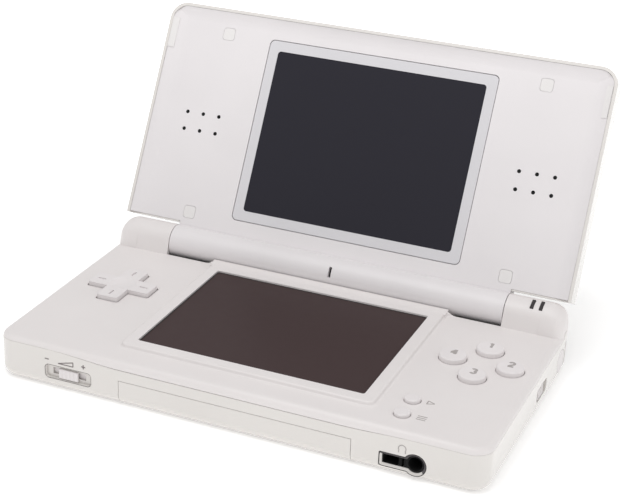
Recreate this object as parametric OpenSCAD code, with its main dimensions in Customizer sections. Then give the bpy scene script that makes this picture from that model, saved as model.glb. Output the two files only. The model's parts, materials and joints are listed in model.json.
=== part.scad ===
// Clamshell handheld game console with two screens.
// The origin lies on the underside, mid width and mid depth. +Z is up and the player sits at -Y.
// The lid is modelled flat with its inner face up, about the hinge axis, and then turned to its angle.

/* [Body] */
// Width of the closed console
body_w = 133; // [126:1:145]
// Depth of the closed console
body_d = 73.9; // [72:0.1:84]
// Height of the lower half, from the underside to the top plate
base_h = 12.2; // [12:0.1:15]
// Corner radius seen from above
corner_r = 5; // [4:0.5:7]
// Radius of the long lower edges
edge_r = 3; // [2:0.5:3.5]
// Wall of the lower half
wall = 1.5; // [1.3:0.1:1.8]
// Width of the rim that frames the top plate
rim_w = 0.9; // [0.7:0.1:1]
// Thickness of the floor
floor_t = 1.5; // [1.4:0.1:1.8]
// Thickness of the top plate
plate_t = 1.5; // [1.3:0.1:1.7]

/* [Hinge and lid] */
// Angle between the two inner faces as shown
lid_angle = 118.35; // [0:0.05:155]
// Height of the hinge axis above the top plate
hinge_rise = 2.3; // [2.1:0.1:2.6]
// Distance from the hinge axis to the rear edge of the base
hinge_inset = 5; // [5:0.1:6]
// Radius of the hinge barrel
barrel_r = 4.68; // [4.4:0.02:4.8]
// Length of the barrel that turns with the lid
barrel_w = 99.5; // [90:0.5:104]
// Bore of the barrel and of both knuckles
barrel_bore_r = 3.35; // [3:0.05:3.5]
// Thickness of the lid behind the hinge axis
lid_back = 7; // [6.6:0.1:8]
// Gap along the lid from the hinge axis to its lower edge
lid_gap = 5.3; // [5.3:0.05:6]
// Height of the lid face in front of the hinge axis
lid_face = 0.48; // [0.2:0.02:0.6]
// Height of the lid rim above the lid face
lid_lip = 1.3; // [1:0.1:1.4]
// Wall of the lid
lid_wall = 1.4; // [1.2:0.1:1.6]

/* [Screens] */
// Width of each viewing window
window_w = 62.4; // [58:0.1:64]
// Height of each viewing window
window_h = 46.9; // [44:0.1:48]
// Width of the border round the upper window
upper_border = 3; // [2.5:0.1:3.5]
// Width of the flat top of the raised border round the lower window
lower_border = 2.8; // [2.4:0.1:3]
// Height of that border above the top plate
lower_border_h = 1; // [0.6:0.1:1.1]
// Distance from the hinge axis to the centre of the upper window
upper_v = 35.6; // [34:0.1:37]
// Place of the lower window's centre along the depth
lower_y = -2; // [-3:0.1:-1]

/* [Controls] */
// Distance from the middle to the centre of the direction pad
dpad_x = 50.7; // [49.5:0.1:52]
// Place of the direction pad along the depth
dpad_y = 1.9; // [0:0.1:4]
// Span of the direction pad from tip to tip
dpad_span = 18.4; // [16:0.2:19]
// Width of its arms
dpad_arm = 6.3; // [5:0.1:7]
// Distance from the middle to the centre of the four face buttons
face_x = 51.7; // [50:0.1:52]
// Place of that centre along the depth
face_y = 3.6; // [2:0.1:5]
// Distance of each face button from that centre
face_pitch = 7.6; // [6.6:0.1:8]
// Radius of a face button
face_r = 3.6; // [3:0.1:4]
// Height of the face buttons above the top plate
face_rise = 1.3; // [0.8:0.1:1.4]
// Travel of every push button
press = 0.7; // [0.4:0.1:0.8]
// Radius of the two small buttons
small_r = 2.05; // [1.6:0.05:2.4]
// Distance from the middle to the two small buttons
small_x = 42.2; // [41:0.1:44]
// Place of the upper small button along the depth
small_y = -21.4; // [-22:0.1:-20]
// Distance between the two small buttons
small_gap = 7.4; // [6:0.1:8]
// Clearance round a moving button
play = 0.15; // [0.1:0.05:0.25]

/* [Slots and storage] */
// Width of the front cartridge slot
cart_w = 58; // [56:0.5:60]
// Top of the front cartridge slot above the underside
cart_top = 7; // [6.6:0.1:7]
// Place of the front slot across the width
cart_x = 1; // [0:0.1:2]
// Width of the rear card slot
card_w = 33.4; // [32:0.2:34]
// Height of the rear card slot
card_h = 4.3; // [4.2:0.1:4.4]
// Place of the rear card slot across the width
card_x = -33.5; // [-34:0.1:-33]
// Diameter of the stylus
stylus_d = 4.9; // [4.4:0.1:5]
// Length of the stylus with its cap
stylus_len = 79; // [60:1:80]
// Distance from the stylus axis to the rear edge of the base
stylus_inset = 8.95; // [8.75:0.05:9.3]
// Height of the stylus axis above the underside
stylus_z = 5; // [4.8:0.1:5.2]
// Width of the battery
battery_w = 27; // [24:0.5:27]
// Length of the battery
battery_d = 39; // [34:0.5:39]
// Radius of the headphone plug's bore
jack_bore_r = 1.8; // [1.7:0.05:1.9]
// Depth of the headphone plug's bore
jack_depth = 12.5; // [10:0.5:12.5]

/* [Hidden] */

// Clearances: a slip fit, a running fit and a gap beside a turning part
slip = 0.1;
running = 0.05;
turning = 0.2;

// Heights in the base
ledge_z = base_h - plate_t;
board_z = cart_top + 0.1;
board_t = 1;
deck_z = board_z + board_t;

// The hinge axis, and the length of the lid
hinge_y = body_d / 2 - hinge_inset;
hinge_z = base_h + hinge_rise;
lid_far = hinge_y + body_d / 2 - 0.2;
lid_floor = lid_back - lid_wall;
bezel_t = 2;
neck_low = 3.8;
near_rim = 0.4;

shaft_r = 1.4;
shaft_grip = 0.02;
knuckle_x = barrel_w / 2 + turning;
knuckle_foot = 5.95;
knuckle_lean = 21.7;

// The barrel turns in a trough; the middle lies closer to it, and the rear wall is cut down behind it
trough_gap = 1.3;
trough_t = 0.8;
middle_half_w = 35;
middle_gap = 0.35;
rear_drop = 4.3;

// Soft slope down from the raised border to the plate, and the flares where it meets the hinge
slope_w = 1.3;
border_corner_r = 2.6;
flare_r = 3.05;
band_y = 24;
band_rise = 0.35;

// Seat of the upper lens, measured from the lid face
lens_t = 1;
mask_t = 0.2;
lens_w = window_w + 2 * upper_border;
lens_h = window_h + 2 * upper_border;

// Both displays are the same module
lcd_w = window_w + 2;
lcd_h = window_h + 2;
lcd_gap = 0.2;
tray_t = 0.4;
tray_hole_r = 6;
tray_holes_at = [-20, 0, 20];
touch_t = 1.5;
touch_drop = 0.35;
touch_step = 0.6;
touch_z = base_h + lower_border_h - touch_drop - touch_t;
display_t = 2.7;

// The direction pad rocks about this height
rock_z = base_h - 2;
dpad_rise = 1.2;
flange_t = 0.5;
dpad_disc_r = dpad_span / 2 - 0.6;
dpad_flange_z = rock_z - 0.75;
dpad_pad_z = dpad_flange_z - 0.85;
dpad_pad_t = 0.35;
dish_r = 12;
dish_depth = 0.6;
arm_mark = [5.2, 7.6];
arm_mark_w = 0.5;

// Push buttons: flange under the plate, rubber pad on the board
button_flange_t = 0.7;
button_foot_z = ledge_z - 0.05 - button_flange_t;
pad_top = button_foot_z - press - 0.05;
small_rise = 0.9;

// Places of the screws that hold the base together
base_screws_at = [
    [-61.8, -33], [61.8, -33], [-62, 20], [62.3, 20], [37.5, 21]
];
screw_head_r = 1.75;
screw_shaft_r = 0.95;
boss_r = 2.6;
boss_top = deck_z + 0.2;

// Places of the lid's screws, as distance from the middle and from the hinge axis
lid_screws_at = [[-47.5, 8.75], [47.5, 8.75], [-47.5, 61.6], [47.5, 61.6]];
lid_boss_r = 2;
cap_side = 3.5;
cap_depth = 0.8;
side_reach = 4.6;
lid_screw_head_r = 1.4;
lid_screw_shaft_r = 0.8;

// Sound holes of each speaker, three across and two up, and the cloth behind them
cloth_w = 14.5;
cloth_h = 9;
cloth_t = 0.2;
sound_pitch = 5;
sound_hole_r = 0.55;
speaker_x = 50;
speaker_v = upper_v - 0.75;
speaker_r = 8.2;

// Rear card slot: sheet of its cage, and the depth of the cage
cage_t = 0.2;
cage_d = 33;
cage_front = body_d / 2 - wall - cage_d;
card_top = board_z - cage_t;
card_low = card_top - card_h;

// Front slot: its cover, rails and connector
cover_w = cart_w + 5;
cover_foot = 5.5;
cover_tongue = 16;
rail_t = 1;
cart_depth = 34;

// Volume slider, in a recess in the front wall
vol_x = -45.2;
vol_z = 5;
vol_w = 13.6;
vol_h = 4;
vol_knob_w = 6.2;
vol_travel = 3.2;
vol_recess = 0.9;
vol_knob_h = 3.2;
grip_groove = 0.6;
vol_stem = 1.5;
vol_stem_h = 1.6;

// Headphone socket beside the square accessory socket
jack_x = 48.8;
jack_z = 4.2;
jack_outer_r = 2.9;
jack_body_r = 2.6;
port_x = 43.2;
port_w = 6.8;
port_h = 3.8;

// Power switch, in a recess in the right wall
power_y = 9.5;
power_z = 5.5;
power_w = 9;
power_h = 3.6;
power_knob = 4.6;
power_travel = 1.8;
power_stem = 2.2;
power_stem_h = 1.4;
power_recess = 0.9;
power_knob_h = 2.8;

// Shoulder buttons, one at each rear corner
shoulder_w = 14.2;
shoulder_d = 5;
shoulder_low = 2.6;
shoulder_high = 9;
shoulder_t = 1.6;
shoulder_pin_x = body_w / 2 - shoulder_w + 2.3;
shoulder_pin_y = body_d / 2 - 2.6;
shoulder_pin_r = 0.75;
shoulder_gap = 0.9;

// Charging socket in the rear wall
charge_x = 22;
charge_w = 8.4;
charge_h = 3.6;
charge_low = 2.6;
charge_wall = 0.75;

// Two holes for a wrist strap in the rear wall
strap_x = [39, 43];
strap_w = 1.6;
strap_h = 3.2;
strap_low = 3.4;

// Battery bay under the right side
bay_x = 46.5;
bay_y = -2;
bay_gap = 0.4;
bay_wall = 1;
battery_t = cart_top - 1.6;
hatch_t = 0.8;
hatch_rim = 1;
hatch_w = battery_w + 1.4;
hatch_d = battery_d + 1.6;
hatch_corner_r = 1.5;
hatch_screw_y = 20.9;
tongue_w = 9;
tongue_d = 8.4;
grip_w = 8;
grip_line = 0.7;
grip_pitch = 1.6;

// Stylus and its channel
stylus_y = body_d / 2 - stylus_inset;
stylus_r = stylus_d / 2;
channel_r = stylus_r + 0.15;
channel_wall = 0.7;
cap_r = stylus_r + 0.65;
cap_t = 2;

// Outline of the main board, which ends in front of the stylus channel
board_half_w = body_w / 2 - wall - 1;
board_front = 2.95 - body_d / 2;
board_rear = stylus_y - channel_r - channel_wall - 0.7;

// Display cable: its roll in the barrel and its flat tail
cable_roll_r = 1.9;
cable_w = 2.6;
cable_t = 0.6;

// Status lights on the right knuckle and the microphone slit in the barrel
light_x = [57.05, 59.5];
light_w = 0.9;
light_len = 3;
light_lean = 22.5;
light_t = barrel_r - barrel_bore_r;
mic_x = -0.15;
mic_w = 0.8;
mic_len = 2.8;
mic_r = 1.5;

// Colours as the photograph shows them
WHITE = "#eceae8";
SHELL = "#f0efed";
SOFT_WHITE = "#e6e3e2";
GREY = "#9a9a9c";
DARK = "#2f2e33";
GLASS = "#4a4244";
STEEL = "#a9adb2";
GREEN = "#2f6b4a";
COPPER = "#b98a4a";

// ---------- shapes that repeat ----------

// Rounded rectangle about the origin
module rounded_rect(w, d, r) {
    square([w - 2 * r, d], center = true);
    square([w, d - 2 * r], center = true);
    for (sx = [-1, 1], sy = [-1, 1])
        translate([sx * (w / 2 - r), sy * (d / 2 - r)])
            circle(r = r, $fn = 48);
}

// Rounded block standing on z = 0
module rounded_block(w, d, h, r) {
    linear_extrude(h)
        rounded_rect(w, d, r);
}

// Section of a moulded edge: a wall of the given height whose lower outer corner is round
module edge_section(reach, h, low_r) {
    translate([0, low_r])
        square([reach, h - low_r]);
    square([reach - low_r, h]);
    translate([reach - low_r, low_r])
        circle(r = low_r, $fn = 48);
}

// Slab with round corners in plan and a round lower edge all the way round
module moulded_slab(w, d, h, plan_r, low_r) {
    for (sx = [0, 1], sy = [0, 1])
        mirror([sx, 0, 0])
            mirror([0, sy, 0])
                translate([w / 2 - plan_r, d / 2 - plan_r, 0])
                    rotate_extrude(angle = 90, $fn = 64)
                        intersection() {
                            edge_section(plan_r, h, low_r);
                            square([plan_r, h]);
                        }
    for (side = [0, 1])
        mirror([side, 0, 0])
            translate([w / 2 - plan_r, d / 2 - plan_r, 0])
                rotate([90, 0, 0])
                    linear_extrude(d - 2 * plan_r)
                        edge_section(plan_r, h, low_r);
    for (side = [0, 1])
        mirror([0, side, 0])
            translate([plan_r - w / 2, d / 2 - plan_r, 0])
                rotate([90, 0, 90])
                    linear_extrude(w - 2 * plan_r)
                        edge_section(plan_r, h, low_r);
    translate([plan_r - w / 2, plan_r - d / 2, 0])
        cube([w - 2 * plan_r, d - 2 * plan_r, h]);
}

// Cylinder along +X, starting at x
module rod_x(x, len, r) {
    translate([x, 0, 0])
        rotate([0, 90, 0])
            cylinder(r = r, h = len, $fn = 64);
}

// Block with the body's outline, all of it moved inwards by an inset
module plan_block(inset, h) {
    rounded_block(body_w - 2 * inset, body_d - 2 * inset, h, corner_r - inset);
}

// Box centred across, standing on z = 0 and running back from y = 0
module block_from_front(w, d, h) {
    translate([-w / 2, 0, 0])
        cube([w, d, h]);
}

// Box given by its lowest and highest corners
module span(low, high) {
    translate(low)
        cube(high - low);
}

// Moves what is modelled about the hinge axis onto it, without the lid's turn
module at_hinge() {
    translate([0, hinge_y, hinge_z])
        children();
}

// Turns the lid's own frame to its angle: x across, y up the lid, z out of its inner face
module lid_frame() {
    at_hinge()
        rotate([180 - lid_angle, 0, 0])
            children();
}

// Outline of the direction pad grown by a clearance
module cross_outline(grow) {
    rounded_rect(dpad_span + 2 * grow, dpad_arm + 2 * grow, 0.8);
    rounded_rect(dpad_arm + 2 * grow, dpad_span + 2 * grow, 0.8);
}

// Round push button with a soft top edge and a flange below the plate
module push_button(r, rise) {
    top = base_h + rise;
    soft = 0.35;
    translate([0, 0, button_foot_z])
        cylinder(r = r + 0.7, h = button_flange_t, $fn = 64);
    rotate_extrude($fn = 64) {
        translate([0, button_foot_z + 0.3])
            square([r, top - soft - button_foot_z - 0.3]);
        translate([0, top - soft - 0.1])
            square([r - soft, soft + 0.1]);
        translate([r - soft, top - soft])
            circle(r = soft, $fn = 32);
    }
}

// Cross-head screw, standing on its head at z = 0
module screw(head_r, head_h, shaft_r, len) {
    difference() {
        union() {
            cylinder(r = head_r, h = head_h, $fn = 40);
            translate([0, 0, head_h - 0.01])
                cylinder(r = shaft_r, h = len - head_h + 0.01, $fn = 32);
        }
        for (turn = [0, 90])
            rotate([0, 0, turn])
                translate([-head_r * 0.6, -0.2, -1])
                    cube([head_r * 1.2, 0.4, 1.5]);
    }
}

// ---------- the base ----------

// The wall and floor of the lower half before anything is cut
module lower_tub() {
    difference() {
        moulded_slab(body_w, body_d, base_h, corner_r, edge_r);
        translate([0, 0, floor_t])
            moulded_slab(body_w - 2 * wall, body_d - 2 * wall, base_h, corner_r - wall, edge_r - wall);
        translate([0, 0, ledge_z - slip / 2])
            plan_block(rim_w, base_h);
    }
}

// Ribs, bosses and channels that stand on the floor
module lower_ribs() {
    for (p = base_screws_at)
        translate([p[0], p[1], floor_t - 0.1])
            cylinder(r = boss_r, h = boss_top - floor_t + 0.1, $fn = 48);
    bay_walls();
    translate([bay_x, hatch_screw_y, floor_t - 0.1])
        cylinder(r = 2.3, h = 4, $fn = 48);
    translate([0, stylus_y, stylus_z]) {
        rod_x(body_w / 2 - stylus_len - 1, stylus_len, channel_r + channel_wall);
        rod_x(body_w / 2 - wall - 2.4, 2.4 + wall / 2, cap_r + 0.8);
    }
    for (side = [-1, 1])
        translate([card_x + side * (card_w / 2 + cage_t + 0.5), cage_front + 2, floor_t - 0.1])
            block_from_front(0.8, cage_d - 2, 1.5);
}

// Wall round the battery
module bay_walls() {
    outer = bay_gap + bay_wall;
    translate([bay_x, bay_y, floor_t - 0.1])
        difference() {
            rounded_block(battery_w + 2 * outer, battery_d + 2 * outer, 5.4, 1);
            translate([0, 0, -1])
                cube_centred(battery_w + 2 * bay_gap, battery_d + 2 * bay_gap, 9);
        }
}

// Block centred in plan, standing on z = 0
module cube_centred(w, d, h) {
    translate([-w / 2, -d / 2, 0])
        cube([w, d, h]);
}

// Outline of the battery hatch with its screw tongue, grown by a clearance
module hatch_outline(grow) {
    translate([bay_x, bay_y])
        rounded_rect(hatch_w + 2 * grow, hatch_d + 2 * grow, hatch_corner_r);
    translate([bay_x, hatch_screw_y - 2])
        rounded_rect(tongue_w + 2 * grow, tongue_d + 2 * grow, hatch_corner_r);
}

// Everything that is cut from the lower half
module lower_cuts() {
    hinge_cuts();
    front_cuts();
    right_side_cuts();
    rear_cuts();
    underside_cuts();
}

// Room behind and below the barrel, where the lid swings past the rear wall
module hinge_cuts() {
    at_hinge()
        rod_x(-knuckle_x, 2 * knuckle_x, barrel_r + trough_gap + slip);
    span([-knuckle_x, hinge_y, hinge_z - rear_drop], [knuckle_x, body_d, hinge_z + 5]);
    intersection() {
        at_hinge()
            rod_x(-knuckle_x, 2 * knuckle_x, barrel_r + trough_gap + trough_t + slip);
        span([-knuckle_x, 0, 0], [knuckle_x, body_d / 2 - wall, base_h]);
    }
}

// Cartridge slot, volume recess and sockets in the front wall
module front_cuts() {
    front = -body_d / 2;
    translate([cart_x, front - 1, -1])
        block_from_front(cover_w + 2 * slip, 1.2 + wall, cart_top + slip + 1);
    translate([cart_x, front - 1, -1])
        block_from_front(cover_w + 2 * slip, 1 + cover_foot + slip, floor_t + 1);
    translate([cart_x, front - 1, floor_t])
        block_from_front(cart_w, 1 + cart_depth, cart_top + slip - floor_t);
    translate([vol_x, front - 1, vol_z])
        rotate([-90, 0, 0])
            rounded_block(vol_w, vol_h, 1 + vol_recess, 1.2);
    translate([vol_x, front - 1, vol_z - vol_stem_h / 2 - slip])
        block_from_front(2 * (vol_travel + vol_stem + slip), 5, vol_stem_h + 2 * slip);
    socket_opening(slip, 4);
}

// The joined outline of the square and the round socket, cut from the front face inwards
module socket_opening(grow, depth) {
    translate([0, -body_d / 2 - 1, 0])
        rotate([-90, 0, 0])
            linear_extrude(1 + depth)
                mirror([0, 1, 0]) {
                    translate([jack_x, jack_z])
                        circle(r = jack_outer_r + grow, $fn = 64);
                    translate([port_x, jack_z - 0.3])
                        rounded_rect(port_w + 2 * grow, port_h + 2 * grow, 0.4);
                }
}

// Power switch recess and the mouth of the stylus channel
module right_side_cuts() {
    side = body_w / 2;
    translate([side - power_recess, power_y, power_z])
        rotate([0, 90, 0])
            rounded_block(power_h, power_w, 4, 1.2);
    translate([side - 1.5, power_y, power_z - power_stem_h / 2 - slip])
        cube_centred(5, power_travel + power_stem + 2 * play, power_stem_h + 2 * slip);
    translate([0, stylus_y, stylus_z]) {
        rod_x(side - stylus_len - 0.4, stylus_len + 2, channel_r);
        rod_x(side - cap_t - 0.2, cap_t + 2, cap_r + slip);
    }
}

// Card slot, charging socket, strap holes and the two shoulder buttons
module rear_cuts() {
    rear = body_d / 2;
    translate([card_x, rear - 3, card_low])
        block_from_front(card_w, 4, card_h);
    translate([charge_x, rear - 3, charge_low - slip])
        block_from_front(charge_w + 2 * slip, 4, charge_h + 2 * slip);
    for (x = strap_x)
        translate([x, rear - 3, strap_low])
            cube([strap_w, 4, strap_h]);
    for (side = [0, 1])
        mirror([side, 0, 0])
            span(
                [body_w / 2 - shoulder_w, rear - shoulder_d, shoulder_low - slip],
                [body_w, rear + 1, shoulder_high + slip]
            );
    for (side = [-1, 1])
        translate([side * shoulder_pin_x, shoulder_pin_y, floor_t])
            cylinder(r = shoulder_pin_r + running, h = base_h, $fn = 32);
}

// Hatch seat, screw recesses and the bores of the bosses
module underside_cuts() {
    translate([0, 0, -1])
        linear_extrude(1 + hatch_t + 0.05)
            hatch_outline(slip);
    translate([bay_x, bay_y, -1])
        rounded_block(battery_w - hatch_rim, battery_d - hatch_rim, 4, 1);
    translate([bay_x, hatch_screw_y, -1])
        cylinder(r = 0.8, h = 6, $fn = 32);
    for (p = base_screws_at)
        translate([p[0], p[1], -1]) {
            cylinder(r = screw_head_r + slip, h = 2.85, $fn = 40);
            cylinder(r = screw_shaft_r + 0.15, h = base_h, $fn = 32);
        }
}

module base_lower_shell() {
    color(SHELL)
        difference() {
            union() {
                lower_tub();
                lower_ribs();
            }
            lower_cuts();
        }
}

// Knuckle at one end of the barrel: it stands on the rim and reaches down inside the wall
module knuckle() {
    intersection() {
        knuckle_form();
        translate([0, -hinge_y, -hinge_z]) {
            translate([0, 0, base_h + slip / 2])
                plan_block(slip, base_h);
            translate([0, 0, ledge_z])
                plan_block(rim_w + slip / 2, base_h);
            plan_block(wall + slip, base_h);
        }
    }
}

// Straight part over the hinge, and a round end turned about an upright line
module knuckle_form() {
    end_x = body_w / 2 - knuckle_foot - slip;
    translate([knuckle_x, 0, 0])
        rotate([90, 0, 90])
            linear_extrude(end_x - knuckle_x)
                union() {
                    circle(r = barrel_r, $fn = 96);
                    knuckle_front();
                    translate([0, -hinge_rise - 0.5])
                        square([barrel_r - 0.05, hinge_rise + 0.5]);
                }
    intersection() {
        translate([end_x, 0, 0])
            rotate([0, 0, -90])
                rotate_extrude(angle = 180, $fn = 96)
                    mirror([1, 0, 0])
                        union() {
                            intersection() {
                                circle(r = barrel_r, $fn = 96);
                                translate([-barrel_r, -barrel_r])
                                    square([barrel_r, 2 * barrel_r]);
                            }
                            knuckle_front();
                        }
        span([0, -body_d, -barrel_r], [body_w, barrel_r - 0.05, barrel_r]);
    }
}

// Flat front of a knuckle, from the plate up to the round of the hinge
module knuckle_front() {
    low = -hinge_rise - 0.5;
    touch = (barrel_r - 0.05) * [-cos(knuckle_lean), sin(knuckle_lean)];
    polygon([[-knuckle_foot, low], touch, [0, 0], [0, low]]);
}

module base_top_shell() {
    color(WHITE)
        difference() {
            union() {
                difference() {
                    top_plate();
                    at_hinge()
                        rod_x(-knuckle_x, 2 * knuckle_x, barrel_r + trough_gap);
                    span([-knuckle_x, hinge_y, 0], [knuckle_x, body_d, base_h + 2]);
                }
                middle_plate();
                trough_wall();
                at_hinge()
                    for (side = [0, 1])
                        mirror([side, 0, 0])
                            knuckle();
                top_bosses();
            }
            top_cuts();
        }
}

// The plate that fills the rim of the lower half
module top_plate() {
    translate([0, 0, ledge_z])
        plan_block(rim_w + slip / 2, plate_t);
}

// Plate that reaches closer to the barrel in the middle, under the raised strip
module middle_plate() {
    difference() {
        span([-middle_half_w, band_y, ledge_z], [middle_half_w, hinge_y - 3, base_h]);
        at_hinge()
            rod_x(-middle_half_w - 1, 2 * middle_half_w + 2, barrel_r + middle_gap);
    }
}

// Thin wall that closes the base under the barrel
module trough_wall() {
    difference() {
        intersection() {
            at_hinge()
                rod_x(-knuckle_x, 2 * knuckle_x, barrel_r + trough_gap + trough_t);
            span([-knuckle_x, 0, 0], [knuckle_x, body_d / 2 - wall - slip, base_h]);
        }
        at_hinge()
            rod_x(-knuckle_x - 1, 2 * knuckle_x + 2, barrel_r + trough_gap);
        span([-body_w, hinge_y, hinge_z - rear_drop], [body_w, body_d, base_h + 9]);
    }
}

module top_bosses() {
    for (p = base_screws_at)
        translate([p[0], p[1], boss_top])
            cylinder(r = 2.1, h = ledge_z - boss_top + 0.1, $fn = 48);
}

// Holes for the screen, the controls, the hinge parts and the status lights
module top_cuts() {
    translate([0, lower_y, ledge_z - 1])
        cube_centred(lcd_w + 2 * lcd_gap, lcd_h + 2 * lcd_gap, plate_t + 2);
    translate([-dpad_x, dpad_y, ledge_z - 1])
        linear_extrude(plate_t + 2)
            cross_outline(0.3);
    for (turn = [0:90:270])
        translate([face_x, face_y, ledge_z - 1])
            rotate([0, 0, turn])
                translate([face_pitch, 0, 0])
                    cylinder(r = face_r + play, h = plate_t + 2, $fn = 64);
    for (step = [0, 1])
        translate([small_x, small_y - step * small_gap, ledge_z - 1])
            cylinder(r = small_r + play, h = plate_t + 2, $fn = 64);
    at_hinge() {
        rod_x(knuckle_x - 1, 13.6, barrel_bore_r);
        rod_x(-knuckle_x - 7.6, 8.6, barrel_bore_r);
        span([-knuckle_x - 7.6, -1.2, -6], [-knuckle_x - 3.8, 1.2, 0]);
        light_bars(0.05);
    }
    for (p = base_screws_at)
        translate([p[0], p[1], 0])
            cylinder(r = screw_shaft_r, h = ledge_z + 0.2, $fn = 32);
}

// The two status light bars on the upper front of the right knuckle
module light_bars(grow) {
    rotate([light_lean, 0, 0])
        for (x = light_x)
            translate([x, 0, barrel_bore_r + 0.08 - grow])
                cube_centred(light_w + 2 * grow, light_len + 2 * grow, light_t + 21 * grow);
}

module status_lights() {
    color(GREY)
        at_hinge()
            light_bars(0);
}

module battery_cover() {
    color(SHELL)
        difference() {
            linear_extrude(hatch_t)
                hatch_outline(0);
            translate([bay_x, hatch_screw_y, -0.1])
                cylinder(r = 1.1, h = 2, $fn = 32);
            for (row = [0:3])
                translate([bay_x - grip_w / 2, bay_y - battery_d / 2 + 3 + row * grip_pitch, -0.1])
                    cube([grip_w, grip_line, 0.4]);
        }
}

module battery_cover_screw() {
    color(STEEL)
        translate([bay_x, hatch_screw_y, 0.05])
            screw(1.05, 0.7, 0.75, 4.4);
}

module battery_pack() {
    color(GREY)
        translate([bay_x, bay_y, floor_t + 0.1])
            rounded_block(battery_w, battery_d, battery_t - 0.1, 1.5);
}

module base_screws() {
    color(STEEL)
        for (p = base_screws_at)
            translate([p[0], p[1], 0.6])
                screw(screw_head_r, 1.2, screw_shaft_r - 0.02, 9.4);
}

// Rubber caps over the two front screws, flush with the underside
module screw_caps() {
    color(SOFT_WHITE)
        for (p = [base_screws_at[0], base_screws_at[1]])
            translate([p[0], p[1], 0])
                cylinder(r = screw_head_r, h = 0.55, $fn = 40);
}

// Cover of the front slot: front plate, foot in the floor and a hollow tongue that fills the slot
module cartridge_slot_cover() {
    front = -body_d / 2;
    fill_w = cart_w - 0.6;
    fill_wall = 0.8;
    fill_side = 1.7;
    fill_low = floor_t + slip;
    fill_h = cart_top - slip - fill_low;
    color(SHELL) {
        intersection() {
            moulded_slab(body_w, body_d, base_h, corner_r, edge_r);
            translate([cart_x, front - 1, 0]) {
                block_from_front(cover_w, 1 + wall, cart_top);
                block_from_front(cover_w, 1 + cover_foot, floor_t - slip);
            }
        }
        translate([cart_x, front + 1, floor_t - slip - 0.1])
            block_from_front(fill_w, cover_foot - 1, 4 * slip);
        difference() {
            translate([cart_x, front + 1, fill_low])
                block_from_front(fill_w, cover_tongue - 1, fill_h);
            translate([cart_x, front + wall + 0.5, fill_low + fill_wall])
                block_from_front(fill_w - 2 * fill_side, cover_tongue, fill_h - 2 * fill_wall);
        }
    }
}

// Connector of the front slot with its contact chambers and the two guide rails
module cartridge_connector() {
    chambers = 32;
    pitch = 1.55;
    chamber_w = 0.8;
    block_d = 3.4;
    rail_front = wall - cart_depth + 0.6;
    color(DARK)
        translate([cart_x, wall / 2 + cart_depth - body_d / 2, 0]) {
            difference() {
                span([-cart_w / 2 - rail_t, 0, floor_t], [cart_w / 2 + rail_t, block_d, cart_top]);
                for (n = [0:chambers - 1])
                    translate([(n - (chambers - 1) / 2) * pitch, -1, 3])
                        block_from_front(chamber_w, 2.6, 2.6);
            }
            for (side = [0, 1])
                mirror([side, 0, 0])
                    span([cart_w / 2, rail_front, floor_t], [cart_w / 2 + rail_t, 0.5, cart_top]);
        }
}

// Metal cage of the rear card slot, open to the rear
module card_slot() {
    rear = body_d / 2 - wall - 2 * slip;
    pin_pitch = 1.6;
    pin_w = 0.8;
    color(STEEL)
        translate([card_x, rear - cage_d, 0])
            difference() {
                translate([0, 0, card_low - cage_t])
                    block_from_front(card_w + 2 * cage_t, cage_d, card_h + 2 * cage_t - 0.02);
                translate([0, 3, card_low])
                    block_from_front(card_w, cage_d, card_h);
                for (n = [-8:8])
                    translate([n * pin_pitch, 0.8, card_low + 0.4])
                        block_from_front(pin_w, 3, card_h - 1.4);
            }
}

module main_board() {
    color(GREEN)
        difference() {
            span([-board_half_w, board_front, board_z], [board_half_w, board_rear, deck_z]);
            for (p = base_screws_at)
                translate([p[0], p[1], 0])
                    cylinder(r = boss_r + 0.2, h = base_h, $fn = 48);
        }
}

// Section of a soft slope: level at its top, S-shaped, and level again at its foot
module soft_slope(w, h) {
    r = (w * w + h * h) / (4 * h);
    difference() {
        polygon([[0, 0], [w, 0], [w / 2, h / 2], [0, h]]);
        translate([w, r])
            circle(r = r, $fn = 96);
    }
    intersection() {
        translate([0, h - r])
            circle(r = r, $fn = 96);
        square([w / 2, h]);
    }
}

// Slab with a soft slope all round, sized at its foot and standing on z = 0
module sloped_slab(w, d, h, plan_r) {
    for (sx = [0, 1], sy = [0, 1])
        mirror([sx, 0, 0])
            mirror([0, sy, 0])
                translate([w / 2 - plan_r, d / 2 - plan_r, 0])
                    rotate_extrude(angle = 90, $fn = 64)
                        slope_profile(plan_r, h);
    for (side = [0, 1])
        mirror([side, 0, 0])
            translate([w / 2 - plan_r, d / 2 - plan_r, 0])
                rotate([90, 0, 0])
                    linear_extrude(d - 2 * plan_r)
                        slope_profile(plan_r, h);
    for (side = [0, 1])
        mirror([0, side, 0])
            translate([plan_r - w / 2, d / 2 - plan_r, 0])
                rotate([90, 0, 90])
                    linear_extrude(w - 2 * plan_r)
                        slope_profile(plan_r, h);
    translate([plan_r - w / 2, plan_r - d / 2, 0])
        cube([w - 2 * plan_r, d - 2 * plan_r, h]);
}

// Level top up to the slope, then the slope
module slope_profile(reach, h) {
    square([reach - slope_w, h]);
    translate([reach - slope_w, 0])
        soft_slope(slope_w, h);
}

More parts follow.
